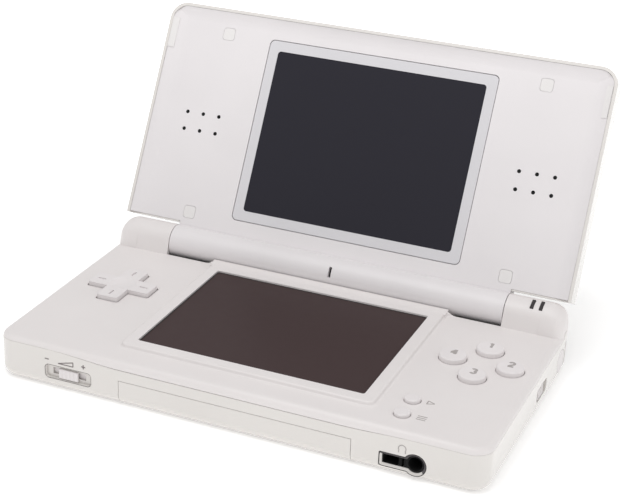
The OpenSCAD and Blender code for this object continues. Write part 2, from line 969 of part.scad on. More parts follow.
// Strip between the window and the barrel: it rises a little and flares out beside the hinge
module border_strip() {
    foot = window_w / 2 + lower_border + slope_w;
    flare_y = hinge_y - sqrt(pow(barrel_r + trough_gap, 2) - pow(hinge_rise, 2)) - flare_r;
    difference() {
        span([-foot - flare_r, flare_y, base_h], [foot + flare_r, hinge_y - 3, base_h + lower_border_h]);
        for (side = [0, 1])
            mirror([side, 0, 0]) {
                translate([foot + flare_r, flare_y, base_h - 1])
                    flare_cut();
                at_hinge()
                    rod_x(middle_half_w, body_w, barrel_r + trough_gap);
            }
    }
    translate([-middle_half_w, 0, base_h])
        rotate([90, 0, 90])
            linear_extrude(2 * middle_half_w)
                polygon([
                    [band_y, 0], [band_y, lower_border_h],
                    [hinge_y - 4.5, lower_border_h + band_rise], [hinge_y - 4.5, 0]
                ]);
}

// What is cut from the strip beside the hinge: a round with the slope at its edge
module flare_cut() {
    rotate_extrude($fn = 96)
        union() {
            square([flare_r, lower_border_h + 2]);
            difference() {
                square([flare_r + slope_w, lower_border_h + 2]);
                translate([flare_r + slope_w, 1])
                    mirror([1, 0, 0])
                        soft_slope(slope_w, lower_border_h);
                translate([flare_r, -1])
                    square([slope_w, 2]);
            }
        }
}

module lower_screen_frame() {
    w = window_w + 2 * (lower_border + slope_w);
    h = window_h + 2 * (lower_border + slope_w);
    color(WHITE)
        difference() {
            union() {
                translate([0, lower_y, base_h])
                    sloped_slab(w, h, lower_border_h, border_corner_r);
                border_strip();
            }
            translate([0, lower_y, base_h - 1]) {
                rounded_block(window_w, window_h, 5, 0.6);
                cube_centred(
                    lcd_w + 2 * lcd_gap, lcd_h + 2 * lcd_gap,
                    touch_z + touch_t - touch_step - base_h + 1.05
                );
            }
            at_hinge()
                rod_x(-body_w, 2 * body_w, barrel_r + middle_gap);
        }
}

// Touch panel: a plate held under the frame, with a step that fills the window
module touch_panel() {
    color(GLASS)
        translate([0, lower_y, touch_z]) {
            cube_centred(lcd_w, lcd_h, touch_t - touch_step);
            rounded_block(window_w - 2 * slip, window_h - 2 * slip, touch_t, 0.5);
        }
}

module lower_display() {
    color(DARK)
        translate([0, lower_y, touch_z - 0.05 - display_t])
            cube_centred(lcd_w, lcd_h, display_t);
}

// Folded metal tray that carries the lower display on the board
module lower_display_tray() {
    color(STEEL)
        translate([0, lower_y, deck_z])
            difference() {
                cube_centred(lcd_w + 1, lcd_h + 1, ledge_z - deck_z - 0.1);
                translate([0, 0, tray_t])
                    cube_centred(lcd_w + lcd_gap, lcd_h + lcd_gap, 5);
                for (x = tray_holes_at)
                    translate([x, 0, -1])
                        cylinder(r = tray_hole_r, h = 3, $fn = 48);
            }
}

module dpad() {
    color(SOFT_WHITE)
        translate([-dpad_x, dpad_y, 0])
            difference() {
                union() {
                    translate([0, 0, dpad_flange_z + 0.1])
                        linear_extrude(base_h + dpad_rise - dpad_flange_z - 0.1)
                            cross_outline(0);
                    translate([0, 0, dpad_flange_z])
                        cylinder(r = dpad_disc_r, h = flange_t, $fn = 64);
                }
                translate([0, 0, base_h + dpad_rise + dish_r - dish_depth])
                    sphere(r = dish_r, $fn = 96);
                for (turn = [0:90:270])
                    rotate([0, 0, turn])
                        translate([arm_mark[0], -arm_mark_w / 2, base_h + dpad_rise - 0.35])
                            cube([arm_mark[1] - arm_mark[0], arm_mark_w, 1]);
            }
}

// Rubber pad that the direction pad rocks on, with its pivot post
module dpad_pad() {
    color(GREY)
        translate([-dpad_x, dpad_y, 0]) {
            translate([0, 0, dpad_pad_z])
                cylinder(r = 8.4, h = dpad_pad_t, $fn = 64);
            translate([0, 0, deck_z + 0.1])
                cylinder(r = 0.8, h = dpad_pad_z - deck_z, $fn = 32);
        }
}

// One face button, by its direction from the centre of the four
module face_button(turn) {
    color(SOFT_WHITE)
        translate([face_x, face_y, 0])
            rotate([0, 0, turn])
                translate([face_pitch, 0, 0])
                    push_button(face_r, face_rise);
}

module button_right() {
    face_button(0);
}

module button_top() {
    face_button(90);
}

module button_left() {
    face_button(180);
}

module button_bottom() {
    face_button(270);
}

module face_button_pad() {
    color(GREY)
        translate([face_x, face_y, deck_z]) {
            rounded_block(24, 24, 0.5, 6);
            for (turn = [0:90:270])
                rotate([0, 0, turn])
                    translate([face_pitch, 0, 0])
                        cylinder(r1 = 3, r2 = 2.2, h = pad_top - deck_z, $fn = 48);
        }
}

module start_button() {
    color(SOFT_WHITE)
        translate([small_x, small_y, 0])
            push_button(small_r, small_rise);
}

module select_button() {
    color(SOFT_WHITE)
        translate([small_x, small_y - small_gap, 0])
            push_button(small_r, small_rise);
}

module small_button_pad() {
    color(GREY)
        translate([small_x, small_y - small_gap / 2, deck_z]) {
            rounded_block(6, 14, 0.5, 2.5);
            for (side = [-1, 1])
                translate([0, side * small_gap / 2, 0])
                    cylinder(r = 1.6, h = pad_top - deck_z, $fn = 48);
        }
}

// Right shoulder button: a corner shell that turns on a pin near its inner end
module shoulder_button() {
    rear = body_d / 2;
    difference() {
        union() {
            intersection() {
                difference() {
                    moulded_slab(body_w, body_d, base_h, corner_r, edge_r);
                    plan_block(shoulder_t, base_h);
                }
                span(
                    [body_w / 2 - shoulder_w + 0.3, rear - shoulder_d + shoulder_gap, shoulder_low],
                    [body_w, rear + 1, shoulder_high]
                );
            }
            translate([shoulder_pin_x, shoulder_pin_y, shoulder_low])
                cylinder(r = 1.6, h = shoulder_high - shoulder_low, $fn = 48);
        }
        translate([shoulder_pin_x, shoulder_pin_y, 0])
            cylinder(r = shoulder_pin_r + running, h = base_h, $fn = 32);
    }
}

module right_shoulder_button() {
    color(SHELL)
        shoulder_button();
}

module left_shoulder_button() {
    color(SHELL)
        mirror([1, 0, 0])
            shoulder_button();
}

// Steel pin that carries a shoulder button, from the floor to the knuckle
module shoulder_pin() {
    translate([shoulder_pin_x, shoulder_pin_y, floor_t])
        cylinder(r = shoulder_pin_r, h = hinge_z - barrel_r - slip - floor_t, $fn = 32);
}

module right_shoulder_pin() {
    color(STEEL)
        shoulder_pin();
}

module left_shoulder_pin() {
    color(STEEL)
        mirror([1, 0, 0])
            shoulder_pin();
}

module volume_slider() {
    front = -body_d / 2;
    color(SOFT_WHITE)
        translate([vol_x, 0, vol_z]) {
            difference() {
                translate([0, front + 0.1, -vol_knob_h / 2])
                    block_from_front(vol_knob_w, vol_recess - 0.15, vol_knob_h);
                for (n = [-1:1])
                    translate([n * 1.4, front, -vol_knob_h])
                        block_from_front(grip_groove, 0.4, 2 * vol_knob_h);
            }
            translate([0, front + vol_recess - 0.2, -vol_stem_h / 2])
                block_from_front(2 * vol_stem, 4.2 - vol_recess, vol_stem_h);
        }
}

module volume_switch() {
    color(STEEL)
        translate([vol_x, 4.1 - body_d / 2, 0])
            span([-6.5, 0, vol_z - 2], [6.5, 3.2, board_z]);
}

module power_slider() {
    side = body_w / 2;
    color(SOFT_WHITE)
        translate([0, power_y - power_travel / 2, power_z]) {
            difference() {
                translate([side - power_recess / 2, 0, -power_knob_h / 2])
                    cube_centred(power_recess - 0.1, power_knob, power_knob_h);
                for (n = [-1:1])
                    translate([side - 0.4 + 0.5, n * 1.3, -power_knob_h])
                        cube_centred(1, grip_groove, 2 * power_knob_h);
            }
            translate([side - 2.05, 0, -power_stem_h / 2])
                cube_centred(2.7, power_stem, power_stem_h);
        }
}

module power_switch() {
    color(STEEL)
        span([body_w / 2 - 5, power_y - 4, power_z - 2], [body_w / 2 - 3.5, power_y + 4, board_z]);
}

// Stylus: round body, fine tip and a wide cap with a finger groove
module stylus() {
    side = body_w / 2;
    tip = 6;
    color(WHITE)
        translate([0, stylus_y, stylus_z])
            difference() {
                union() {
                    rod_x(side - cap_t, cap_t, cap_r);
                    rod_x(side - stylus_len + tip, stylus_len - tip - cap_t + 0.1, stylus_r);
                    translate([side - stylus_len + tip, 0, 0])
                        rotate([0, -90, 0])
                            cylinder(r1 = stylus_r - 0.3, r2 = 0.9, h = tip - 0.6, $fn = 48);
                    rod_x(side - stylus_len, 1, 0.7);
                }
                span([side - 0.6, -2.2, -3.4], [side - 0.1, 2.2, -1.6]);
            }
}

module headphone_socket() {
    front = -body_d / 2;
    color(DARK)
        translate([jack_x, front + 0.6, jack_z])
            rotate([-90, 0, 0])
                difference() {
                    union() {
                        cylinder(r = jack_outer_r, h = wall - 0.6, $fn = 64);
                        cylinder(r = jack_body_r, h = jack_depth + 0.8, $fn = 64);
                    }
                    translate([0, 0, -1])
                        cylinder(r = jack_bore_r, h = jack_depth + 1, $fn = 64);
                }
}

module accessory_socket() {
    front = -body_d / 2;
    color(DARK)
        translate([port_x - 0.55, 0, jack_z - 0.3])
            difference() {
                span([-2.7, front + 0.6, 0.05 - port_h / 2], [2.7, front + 7, port_h / 2 - 0.05]);
                span([-2, front, -1.2], [2, front + 5, 1.2]);
            }
}

module charging_socket() {
    rear = body_d / 2;
    inner = stylus_y + channel_r + channel_wall + slip;
    color(DARK)
        translate([charge_x, 0, charge_low])
            difference() {
                span([-charge_w / 2, inner, 0], [charge_w / 2, rear - 0.3, charge_h]);
                span(
                    [charge_wall - charge_w / 2, rear - 4, charge_wall],
                    [charge_w / 2 - charge_wall, rear + 1, charge_h - charge_wall]
                );
                span([-2.6, rear - 5, 1.5], [2.6, rear - 3, 2.1]);
            }
}

module radio_board() {
    color(GREEN)
        span([-60, -24, board_z - 3.2], [-35, -4, board_z - 0.02]);
}

module hinge_cartridge() {
    color(STEEL)
        at_hinge()
            difference() {
                rod_x(knuckle_x + 0.2, 12.2, barrel_bore_r - 0.03);
                rod_x(knuckle_x - 1, 9, shaft_r + running);
            }
}

module hinge_shaft() {
    color(STEEL)
        at_hinge()
            rod_x(barrel_w / 2 - 9, 15, shaft_r);
}

module hinge_bush() {
    color(GREY)
        at_hinge()
            difference() {
                rod_x(-knuckle_x - 7.4, 12, barrel_bore_r - running);
                rod_x(-knuckle_x - 8.4, 14, 2.5);
                span([-knuckle_x - 7.6, -1.1, -6], [-knuckle_x - 3.8, 1.1, 0]);
            }
}

// Display cable: rolled along the hinge axis, then down behind the knuckle and forward onto the board
module display_cable() {
    color(COPPER) {
        at_hinge()
            rod_x(-knuckle_x - 7, 20, cable_roll_r);
        translate([-knuckle_x - 7 + cable_w / 2, hinge_y, deck_z])
            cube_centred(cable_w, 2 * cable_t, hinge_z - deck_z);
        translate([-knuckle_x - 7 + cable_w / 2, board_rear - 2, deck_z])
            block_from_front(cable_w, hinge_y + cable_t - board_rear + 2, cable_t / 2);
    }
}

module microphone() {
    color(DARK)
        lid_frame()
            translate([mic_x, 0, 1.6])
                cylinder(r = mic_r, h = 1.3, $fn = 48);
}

// ---------- the lid ----------

// Lid block with a round back edge and a squarer hinge edge, which has an inset of its own
module lid_block(inset, near_inset, back, front, far_r, back_r) {
    len = lid_far - lid_gap - inset - near_inset;
    intersection() {
        translate([0, lid_far - inset - len, back])
            translate([0, len / 2 - 5, 0])
                moulded_slab(body_w - 2 * inset, len + 10, front - back, far_r, back_r);
        translate([0, lid_gap + near_inset, 0])
            rotate([90, 0, 90])
                translate([0, 0, -body_w])
                    linear_extrude(2 * body_w)
                        hinge_edge(len + 1, back, front, back_r);
    }
}

// Side view of the lid with its lower back corner rounded
module hinge_edge(len, back, front, r) {
    translate([r, back])
        square([len - r, front - back]);
    translate([0, back + r])
        square([len, front - back - r]);
    translate([r, back + r])
        circle(r = r, $fn = 48);
}

module lid_outer_shell() {
    rim = lid_face + lid_lip;
    color(SHELL)
        lid_frame() {
            difference() {
                lid_block(0, 0, -lid_back, rim, corner_r, edge_r);
                lid_block(lid_wall, lid_wall, -lid_floor, rim + 1, corner_r - lid_wall, edge_r - lid_wall);
                lid_block(rim_w, near_rim, lid_face - bezel_t - 0.05, rim + 1, corner_r - rim_w, 0.3);
                span([rim_w - body_w / 2, 0, lid_face], [body_w / 2 - rim_w, lid_gap + 1, rim + 1]);
                span(
                    [-barrel_w / 2 - slip, 0, -neck_low - turning],
                    [barrel_w / 2 + slip, lid_gap + lid_wall + 1, rim + 1]
                );
            }
            difference() {
                for (p = lid_screws_at)
                    translate([p[0], p[1], -lid_floor - 0.1])
                        cylinder(r = lid_boss_r, h = lid_floor + lid_face - bezel_t + 0.05, $fn = 40);
                for (p = lid_screws_at)
                    translate([p[0], p[1], -lid_floor + 0.4])
                        cylinder(r = lid_screw_shaft_r, h = lid_floor, $fn = 32);
            }
        }
}

// Radius of the hollow that runs from the lid face up to the lip
function lip_r(reach) = reach * reach / (2 * lid_lip) + lid_lip / 2;

// Concave lip along one edge of the lid face: a block with a round hollow cut from it
module lip_section(reach) {
    difference() {
        square([reach, lid_lip]);
        translate([0, lip_r(reach)])
            circle(r = lip_r(reach), $fn = 180);
    }
}

// Block of the inner shell up to a given height
module face_block(inset, near_inset, top) {
    lid_block(inset, near_inset, lid_face - bezel_t, top, corner_r - inset, 0.3);
}

module lid_inner_shell() {
    inset = rim_w + slip / 2;
    half_w = body_w / 2 - inset;
    far = lid_far - inset;
    near_inset = near_rim + slip / 2;
    near = lid_gap + near_inset;
    far_reach = 3.4;
    color(WHITE)
        lid_frame()
            difference() {
                union() {
                    difference() {
                        face_block(inset, near_inset, lid_face + 1);
                        span([-body_w, -1, lid_face], [body_w, lid_far + 1, lid_face + 9]);
                    }
                    intersection() {
                        face_block(inset, near_inset, lid_face + lid_lip - 0.1);
                        union() {
                            for (side = [0, 1])
                                mirror([side, 0, 0])
                                    translate([half_w - side_reach, far + 1, lid_face])
                                        rotate([90, 0, 0])
                                            linear_extrude(far - near + 2)
                                                lip_section(side_reach);
                            translate([-half_w, far - far_reach, lid_face])
                                rotate([90, 0, 90])
                                    linear_extrude(2 * half_w)
                                        lip_section(far_reach);
                        }
                    }
                    rod_x(-barrel_w / 2, barrel_w, barrel_r);
                    span([-barrel_w / 2, 0, -neck_low], [barrel_w / 2, lid_gap + lid_wall + 0.3, lid_face]);
                }
                inner_shell_cuts();
            }
}

// Window, lens seat, sound holes, screw seats, barrel bore and microphone slit
module inner_shell_cuts() {
    translate([0, upper_v, lid_face - lens_t - mask_t])
        rounded_block(lens_w + 2 * slip, lens_h + 2 * slip, 5, 1.5);
    translate([0, upper_v, lid_face - 5])
        cube_centred(lcd_w + 2 * lcd_gap, lcd_h + 2 * lcd_gap, 9);
    for (side = [-1, 1], n = [-1:1], row = [-1, 1])
        translate([side * (speaker_x + n * sound_pitch), speaker_v + row * sound_pitch / 2, lid_face - 5])
            cylinder(r = sound_hole_r, h = 9, $fn = 24);
    for (p = lid_screws_at)
        translate([p[0], p[1], 0]) {
            translate([0, 0, lid_face - cap_depth])
                rounded_block(cap_side + 0.1, cap_side + 0.1, 3, 0.8);
            translate([0, 0, lid_face - cap_depth - 0.7])
                cylinder(r = lid_screw_head_r + 0.1, h = 3, $fn = 40);
            translate([0, 0, lid_face - 5])
                cylinder(r = lid_screw_shaft_r + 0.1, h = 9, $fn = 32);
            translate([0, 0, -lid_floor])
                cylinder(r = lid_boss_r + turning, h = lid_floor + lid_face - bezel_t, $fn = 40);
        }
    rod_x(-barrel_w / 2 - 1, barrel_w - 9, barrel_bore_r);
    rod_x(barrel_w / 2 - 9.2, 12, shaft_r + shaft_grip);
    span([-44, 2, -2.6], [-30, lid_gap + lid_wall + 2, -0.6]);
    translate([mic_x, 0, 0])
        span([-mic_w / 2, -mic_len / 2, 2], [mic_w / 2, mic_len / 2, 6]);
}

module upper_lens() {
    color(DARK)
        lid_frame()
            translate([0, upper_v, lid_face - lens_t])
                rounded_block(lens_w, lens_h, lens_t, 1.5);
}

module upper_mask() {
    color(WHITE)
        lid_frame()
            translate([0, upper_v, lid_face - lens_t - mask_t])
                difference() {
                    rounded_block(lens_w, lens_h, mask_t - 0.02, 1.5);
                    translate([0, 0, -1])
                        rounded_block(window_w, window_h, 3, 0.6);
                }
}

module upper_display() {
    color(DARK)
        lid_frame()
            translate([0, upper_v, lid_face - lens_t - mask_t - 0.05 - display_t])
                cube_centred(lcd_w, lcd_h, display_t);
}

module upper_display_tray() {
    color(STEEL)
        lid_frame()
            translate([0, upper_v, lid_face - lens_t - mask_t - 0.1 - display_t - tray_t])
                difference() {
                    cube_centred(lcd_w + 1.2, lcd_h + 1.2, 2.3);
                    translate([0, 0, tray_t])
                        cube_centred(lcd_w + 2 * lcd_gap, lcd_h + 2 * lcd_gap, 3);
                    for (x = tray_holes_at)
                        translate([x, 0, -1])
                            cylinder(r = tray_hole_r, h = 3, $fn = 48);
                }
}

// Round speaker with its basket and magnet
module speaker() {
    rim_z = lid_face - bezel_t - 0.3;
    translate([speaker_x, speaker_v, 0]) {
        translate([0, 0, rim_z - 1])
            cylinder(r = speaker_r, h = 1, $fn = 64);
        translate([0, 0, rim_z - 2.9])
            cylinder(r = speaker_r * 0.62, h = 2, $fn = 64);
    }
}

module right_speaker() {
    color(STEEL)
        lid_frame()
            speaker();
}

module left_speaker() {
    color(STEEL)
        lid_frame()
            mirror([1, 0, 0])
                speaker();
}

module speaker_meshes() {
    color(DARK)
        lid_frame()
            for (side = [-1, 1])
                translate([side * speaker_x, speaker_v, lid_face - bezel_t - 0.25])
                    rounded_block(cloth_w, cloth_h, cloth_t, 2);
}

module lid_screws() {
    color(STEEL)
        lid_frame()
            for (p = lid_screws_at)
                translate([p[0], p[1], lid_face - cap_depth - 0.05])
                    rotate([180, 0, 0])
                        screw(lid_screw_head_r, 0.6, lid_screw_shaft_r - 0.02, 4);
}

module lid_screw_caps() {
    color(SOFT_WHITE)
        lid_frame()
            for (p = lid_screws_at)
                translate([p[0], p[1], lid_face - cap_depth + 0.02])
                    rounded_block(cap_side, cap_side, cap_depth, 0.8);
}

// Soft strips on the side lips, which the closed lid rests on
module lid_side_tabs() {
    tab_t = 0.25;
    tab_w = 1.7;
    tab_len = 8.9;
    tab_far = upper_v + 28.45;
    outer = side_reach - 0.1;
    lip_x = body_w / 2 - rim_w - slip / 2 - side_reach;
    color(SOFT_WHITE)
        lid_frame()
            for (side = [0, 1])
                mirror([side, 0, 0])
                    translate([lip_x, tab_far, lid_face])
                        rotate([90, 0, 0])
                            linear_extrude(tab_len)
                                intersection() {
                                    translate([0, lip_r(side_reach)])
                                        difference() {
                                            circle(r = lip_r(side_reach) - 0.02, $fn = 180);
                                            circle(r = lip_r(side_reach) - tab_t, $fn = 180);
                                        }
                                    translate([outer - tab_w, 0])
                                        square([tab_w, 3]);
                                }
}

base_lower_shell();
base_top_shell();
battery_cover();
battery_cover_screw();
battery_pack();
base_screws();
screw_caps();
cartridge_slot_cover();
cartridge_connector();
card_slot();
main_board();
lower_screen_frame();
touch_panel();
lower_display();
lower_display_tray();
dpad();
dpad_pad();
button_top();
button_right();
button_bottom();
button_left();
face_button_pad();
start_button();
select_button();
small_button_pad();
left_shoulder_button();
right_shoulder_button();
left_shoulder_pin();
right_shoulder_pin();
volume_slider();
volume_switch();
power_slider();
power_switch();
stylus();
headphone_socket();
accessory_socket();
charging_socket();
status_lights();
radio_board();
hinge_cartridge();
hinge_shaft();
hinge_bush();
display_cable();
microphone();
lid_outer_shell();
lid_inner_shell();
upper_lens();
upper_mask();
upper_display();
upper_display_tray();
left_speaker();
right_speaker();
speaker_meshes();
lid_screws();
lid_screw_caps();
lid_side_tabs();
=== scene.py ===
"""White clamshell handheld console with two screens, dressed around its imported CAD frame.

Places and sizes are in millimetres unless a comment says otherwise: x to the player's right, y
towards the hinge, z up from the underside. On the lid, v runs up from the hinge line and z out of
the inner face. Colours are sRGB, 0 to 255.
"""

import json
import math

import bmesh
import bpy
from mathutils import Matrix, Vector


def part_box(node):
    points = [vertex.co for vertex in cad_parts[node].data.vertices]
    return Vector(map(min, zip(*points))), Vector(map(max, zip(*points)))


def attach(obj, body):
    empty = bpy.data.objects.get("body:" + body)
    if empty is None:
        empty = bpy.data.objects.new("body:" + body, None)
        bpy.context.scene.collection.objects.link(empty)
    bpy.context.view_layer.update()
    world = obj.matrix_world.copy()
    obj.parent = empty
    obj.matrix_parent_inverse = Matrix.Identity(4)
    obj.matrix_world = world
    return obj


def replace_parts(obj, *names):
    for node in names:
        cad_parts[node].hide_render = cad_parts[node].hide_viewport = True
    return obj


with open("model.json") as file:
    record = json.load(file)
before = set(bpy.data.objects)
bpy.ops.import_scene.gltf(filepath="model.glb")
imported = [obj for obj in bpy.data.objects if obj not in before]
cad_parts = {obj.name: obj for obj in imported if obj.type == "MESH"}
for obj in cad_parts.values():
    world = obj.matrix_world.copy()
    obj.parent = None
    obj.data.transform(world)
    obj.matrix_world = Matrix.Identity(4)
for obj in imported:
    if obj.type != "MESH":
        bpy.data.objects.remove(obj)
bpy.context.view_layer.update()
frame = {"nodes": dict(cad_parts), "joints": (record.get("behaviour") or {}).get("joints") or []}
NODES = frame["nodes"]
MM = 0.001


def node_box(node):
    """Low and high corners of a CAD node."""
    low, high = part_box(node)
    return low / MM, high / MM


# ---------- places and sizes ----------

TUB_LOW, TUB_HIGH = node_box("base_lower_shell")
HALF_W = TUB_HIGH.x
FRONT_Y = TUB_LOW.y
PLATE_Z = TUB_HIGH.z
PLAN_R = 5                  # corner of the base in plan
SIDES = {"left": -1, "right": 1}

LID_HINGE = next(joint for joint in frame["joints"] if joint["name"] == "lid_hinge")
HINGE_Y, HINGE_Z = (LID_HINGE["pos_m"][k] / MM for k in (1, 2))
LID_ANGLE = math.radians(LID_HINGE["range_deg"][1])    # from shut to the photograph's opening
LID_FACE = 0.48             # height of the lid's inner face above the plane through the hinge

# The base's rolled top edge: a piece of the top part that reaches down to the parting line
ROLL = 1.7
EDGE_W = 2.4                # its reach over the plate
EDGE_FLOOR = PLATE_Z - 0.45
EDGE_LIP = 0.5              # level part of its underside
EDGE_T = 0.6                # its thickness in the wall
EDGE_KNEE_Z = 10.7          # lowest place of the bend between the two
EDGE_KNEE_RISE = 0.05       # least height of that bend above the parting line
EDGE_END_Y = 30.3
EDGE_CLEAR = (0.5, 0.7)     # how far its cutter stands out of the wall and above the plate
SEAM_Z = 10.2
SEAM_GAP = 0.14
SEAM_MIDDLE = 30            # the parting line is level this far to both sides of the middle
SEAM_LEFT = (20, 0.9)       # then it rises over a length by a height
SEAM_RIGHT = (18, 0.5)
SEAM_FADE = 0.7             # share of the gap that is gone at its ends
FRONT_STEPS, CORNER_STEPS, ROLL_STEPS = 60, 12, 9

# Hinge knuckles
KNUCKLE_R = 4.69
KNUCKLE_END_W = 6.5         # length of the rounded end
KNUCKLE_CORNER = 2.7
KNUCKLE_FOOT = 5.96         # the leaning front's foot, ahead of the hinge line
KNUCKLE_LEAN = math.radians(21.7)
KNUCKLE_FOOT_Z = 10.4
KNUCKLE_INSET = 0.1         # from the base's side
KNUCKLE_BACK = 0.05         # from the back corner of the base
KNUCKLE_ARC, KNUCKLE_RINGS = 24, 20     # steps over the top and along the end
DOME_X = 61.2               # where the top starts to come down
DOME_POWER = 2.3            # of the curve by which it does
DOME_END = 0.25             # height that is left at the very end

# Black strips in the gap before the barrel: painted shadow where that gap lies in shade
STRIP_IN, STRIP_OUT = 36.2, 49.8
STRIP_Y, STRIP_W, STRIP_Z = 27.1, 1.0, 11.95
STRIP_T, STRIP_R, STRIP_EDGE = 0.8, 0.45, 0.1

# Screens
WINDOW_W, WINDOW_H = 62.4, 46.9
WINDOW_R = 0.9
LENS_H = 52.9
LENS_R = 1.45
LENS_T = 1
LENS_CLEAR = 0.1            # left free between the border and its seat, both sides together
LENS_EDGE = 0.12
UPPER_V = 35.6              # middle of the upper screen, up the lid
WINDOW_SINK = 0.03          # of the window below the lid's face
WINDOW_BACK = 0.9
TOUCH_Z = 12.7
TOUCH_R = 0.3
LINE_GROWTH = 0.6           # of the black line's outline over the touch window
LINE_W, LINE_R = 0.62, 0.4
LINE_FOOT, LINE_TOP = TOUCH_Z - 0.05, TOUCH_Z + 0.04

# Sound holes: the middle of each speaker's six, how far apart they are, and their size
SPEAKER_X, SPEAKER_V = 50, UPPER_V - 0.75
SOUND_PITCH, SOUND_R = 5, 0.6
CLOTH_DEPTHS = (0.4, 0.06)  # back and front of the cloth, below the lid's face
CLOTH_POINTS = 24

# Openings in the front wall, as places across and up
SOCKET_X, SOCKET_Z, SOCKET_R = 48.8, 4.2, 3.0
SLOT_LEFT, SLOT_LOW, SLOT_HIGH, SLOT_R = 39.75, 1.95, 5.85, 0.8
PALE_START, PALE_END = 3, 24        # the collar's pale part, as points of the joined outline; the rest is painted shade in dark grey
VOLUME_X, VOLUME_Z, VOLUME_W, VOLUME_H, VOLUME_R = -45.2, 5, 13.6, 4, 1.2

# Slides
KNOB_LOW, KNOB_HIGH = 1.5, 1.15     # below and above the middle of the volume slide
KNOB_BACK = 0.75            # depth of the finger piece's back behind the wall
KNOB_SLACK = 0.3            # the knob clears its collar by this on each side
KNOB_CORNER = 0.15
KNOB_SOFT = 0.12
GRIPS = 4
GRIP_HALF, GRIP_FLOOR, GRIP_DEPTH = 0.22, 0.08, 0.1
STEM_W, STEM_H, STEM_R = 3, 1.6, 0.2
SKIRT_Y, SKIRT_T = 1.56, 0.15       # depth of the slides' skirts just behind the wall
SKIRT_R = 0.4
VOLUME_SKIRT = (16, 3.4)
POWER_SKIRT = (9.4, 3.2)

# Printed marks
INK = 0.02                  # height of a mark above its surface
INK_DEPTH = 0.03            # and how far its foot goes into the surface
INK_STEP = 0.004            # lines that cross keep their tops this far apart
NUMERAL_H = 2.3
NUMERAL_LINE = PLATE_LINE = 0.3     # widths of the lines
SIGN_LINE, WEDGE_LINE, HEADSET_LINE = 0.32, 0.28, 0.26
MARK_RAISE = 1.1            # how far above the button's middle the number sits
START_MARK = (45.9, -20.8)
SELECT_MARK = (45.9, -28.6)
LESS_MARK = (-51.3, 8.4)
WEDGE_MARK = (-45.8, 8.35)
MORE_MARK = (-40.6, 8.5)
HEADSET_MARK = (45.5, 7.9)

# ---------- camera, from a fit to the object's edges in the photograph ----------

IMAGE_W, IMAGE_H = 621, 500
SENSOR_W = 36
TARGET = (-16.036, 44.970, 12.2)
AZIMUTH, ELEVATION, TILT = (math.radians(a) for a in (22.551, 24.550, 2.0206))
DISTANCE = 468.315
FOCAL_PX = 1616.584
AXIS_PX = (300.879, 252.992)    # where the lens axis meets the picture, from its upper left corner


def camera():
    """The photograph's camera."""
    back = Vector((
        math.sin(AZIMUTH) * math.cos(ELEVATION),
        -math.cos(AZIMUTH) * math.cos(ELEVATION),
        math.sin(ELEVATION),
    ))
    right = Vector((0, 0, 1)).cross(back).normalized()
    up = back.cross(right)
    right, up = (
        right * math.cos(TILT) + up * math.sin(TILT),
        -right * math.sin(TILT) + up * math.cos(TILT),
    )
    data = bpy.data.cameras.new("camera")
    data.sensor_width = SENSOR_W
    data.lens = FOCAL_PX * SENSOR_W / IMAGE_W
    data.shift_x = (IMAGE_W / 2 - AXIS_PX[0]) / IMAGE_W
    data.shift_y = (AXIS_PX[1] - IMAGE_H / 2) / IMAGE_W
    data.clip_start, data.clip_end = 0.01, 20
    cam = bpy.data.objects.new("camera", data)
    bpy.context.collection.objects.link(cam)
    turn = Matrix((right, up, back)).transposed().to_4x4()
    cam.matrix_world = Matrix.Translation((Vector(TARGET) + back * DISTANCE) * MM) @ turn
    bpy.context.scene.camera = cam


# ---------- materials ----------

EDGE_SOFT = 0.00018         # metres by which moulded edges are softened
SOFT_SAMPLES = 4
COAT_ROUGH = 0.06


class Nodes:
    """Short ways to add nodes to one material."""

    def __init__(self, name):
        self.material = bpy.data.materials.new(name)
        self.material.use_nodes = True
        self.tree = self.material.node_tree
        self.shader = self.tree.nodes["Principled BSDF"]
        self.place = self.add("ShaderNodeTexCoord").outputs["Object"]

    def add(self, kind, **settings):
        node = self.tree.nodes.new(kind)
        for name, value in settings.items():
            setattr(node, name, value)
        return node

    def link(self, a, b):
        self.tree.links.new(a, b)

    def noise(self, scale, detail=2.0, rough=0.5):
        node = self.add("ShaderNodeTexNoise")
        node.inputs["Scale"].default_value = scale
        node.inputs["Detail"].default_value = detail
        node.inputs["Roughness"].default_value = rough
        self.link(self.place, node.inputs["Vector"])
        return node.outputs["Fac"]

    def spread(self, value, low, high, start=0.3, end=0.7):
        """A value that goes from low to high while its source goes from start to end."""
        node = self.add("ShaderNodeMapRange")
        node.inputs["From Min"].default_value = start
        node.inputs["From Max"].default_value = end
        node.inputs["To Min"].default_value = low
        node.inputs["To Max"].default_value = high
        self.link(value, node.inputs["Value"])
        return node.outputs["Result"]

    def colour(self, fac, a, b):
        """Base colour that goes from one linear colour to another."""
        node = self.add("ShaderNodeMix", data_type="RGBA")
        self.link(fac, node.inputs[0])
        node.inputs[6].default_value = (*a, 1)
        node.inputs[7].default_value = (*b, 1)
        self.link(node.outputs[2], self.shader.inputs["Base Color"])

    def relief(self, height=None, distance=0.0, edge=0.0):
        """Surface normal from softened edges and, over them, a fine grain."""
        normal = None
        if edge:
            soft = self.add("ShaderNodeBevel", samples=SOFT_SAMPLES)
            soft.inputs["Radius"].default_value = edge
            normal = soft.outputs["Normal"]
        if height is not None:
            grain = self.add("ShaderNodeBump")
            grain.inputs["Distance"].default_value = distance
            self.link(height, grain.inputs["Height"])
            if normal:
                self.link(normal, grain.inputs["Normal"])
            normal = grain.outputs["Normal"]
        if normal:
            self.link(normal, self.shader.inputs["Normal"])


def linear(rgb):
    """Linear colour of an sRGB colour."""
    return tuple(
        c / 255 / 12.92 if c / 255 <= 0.04045 else ((c / 255 + 0.055) / 1.055) ** 2.4
        for c in rgb
    )


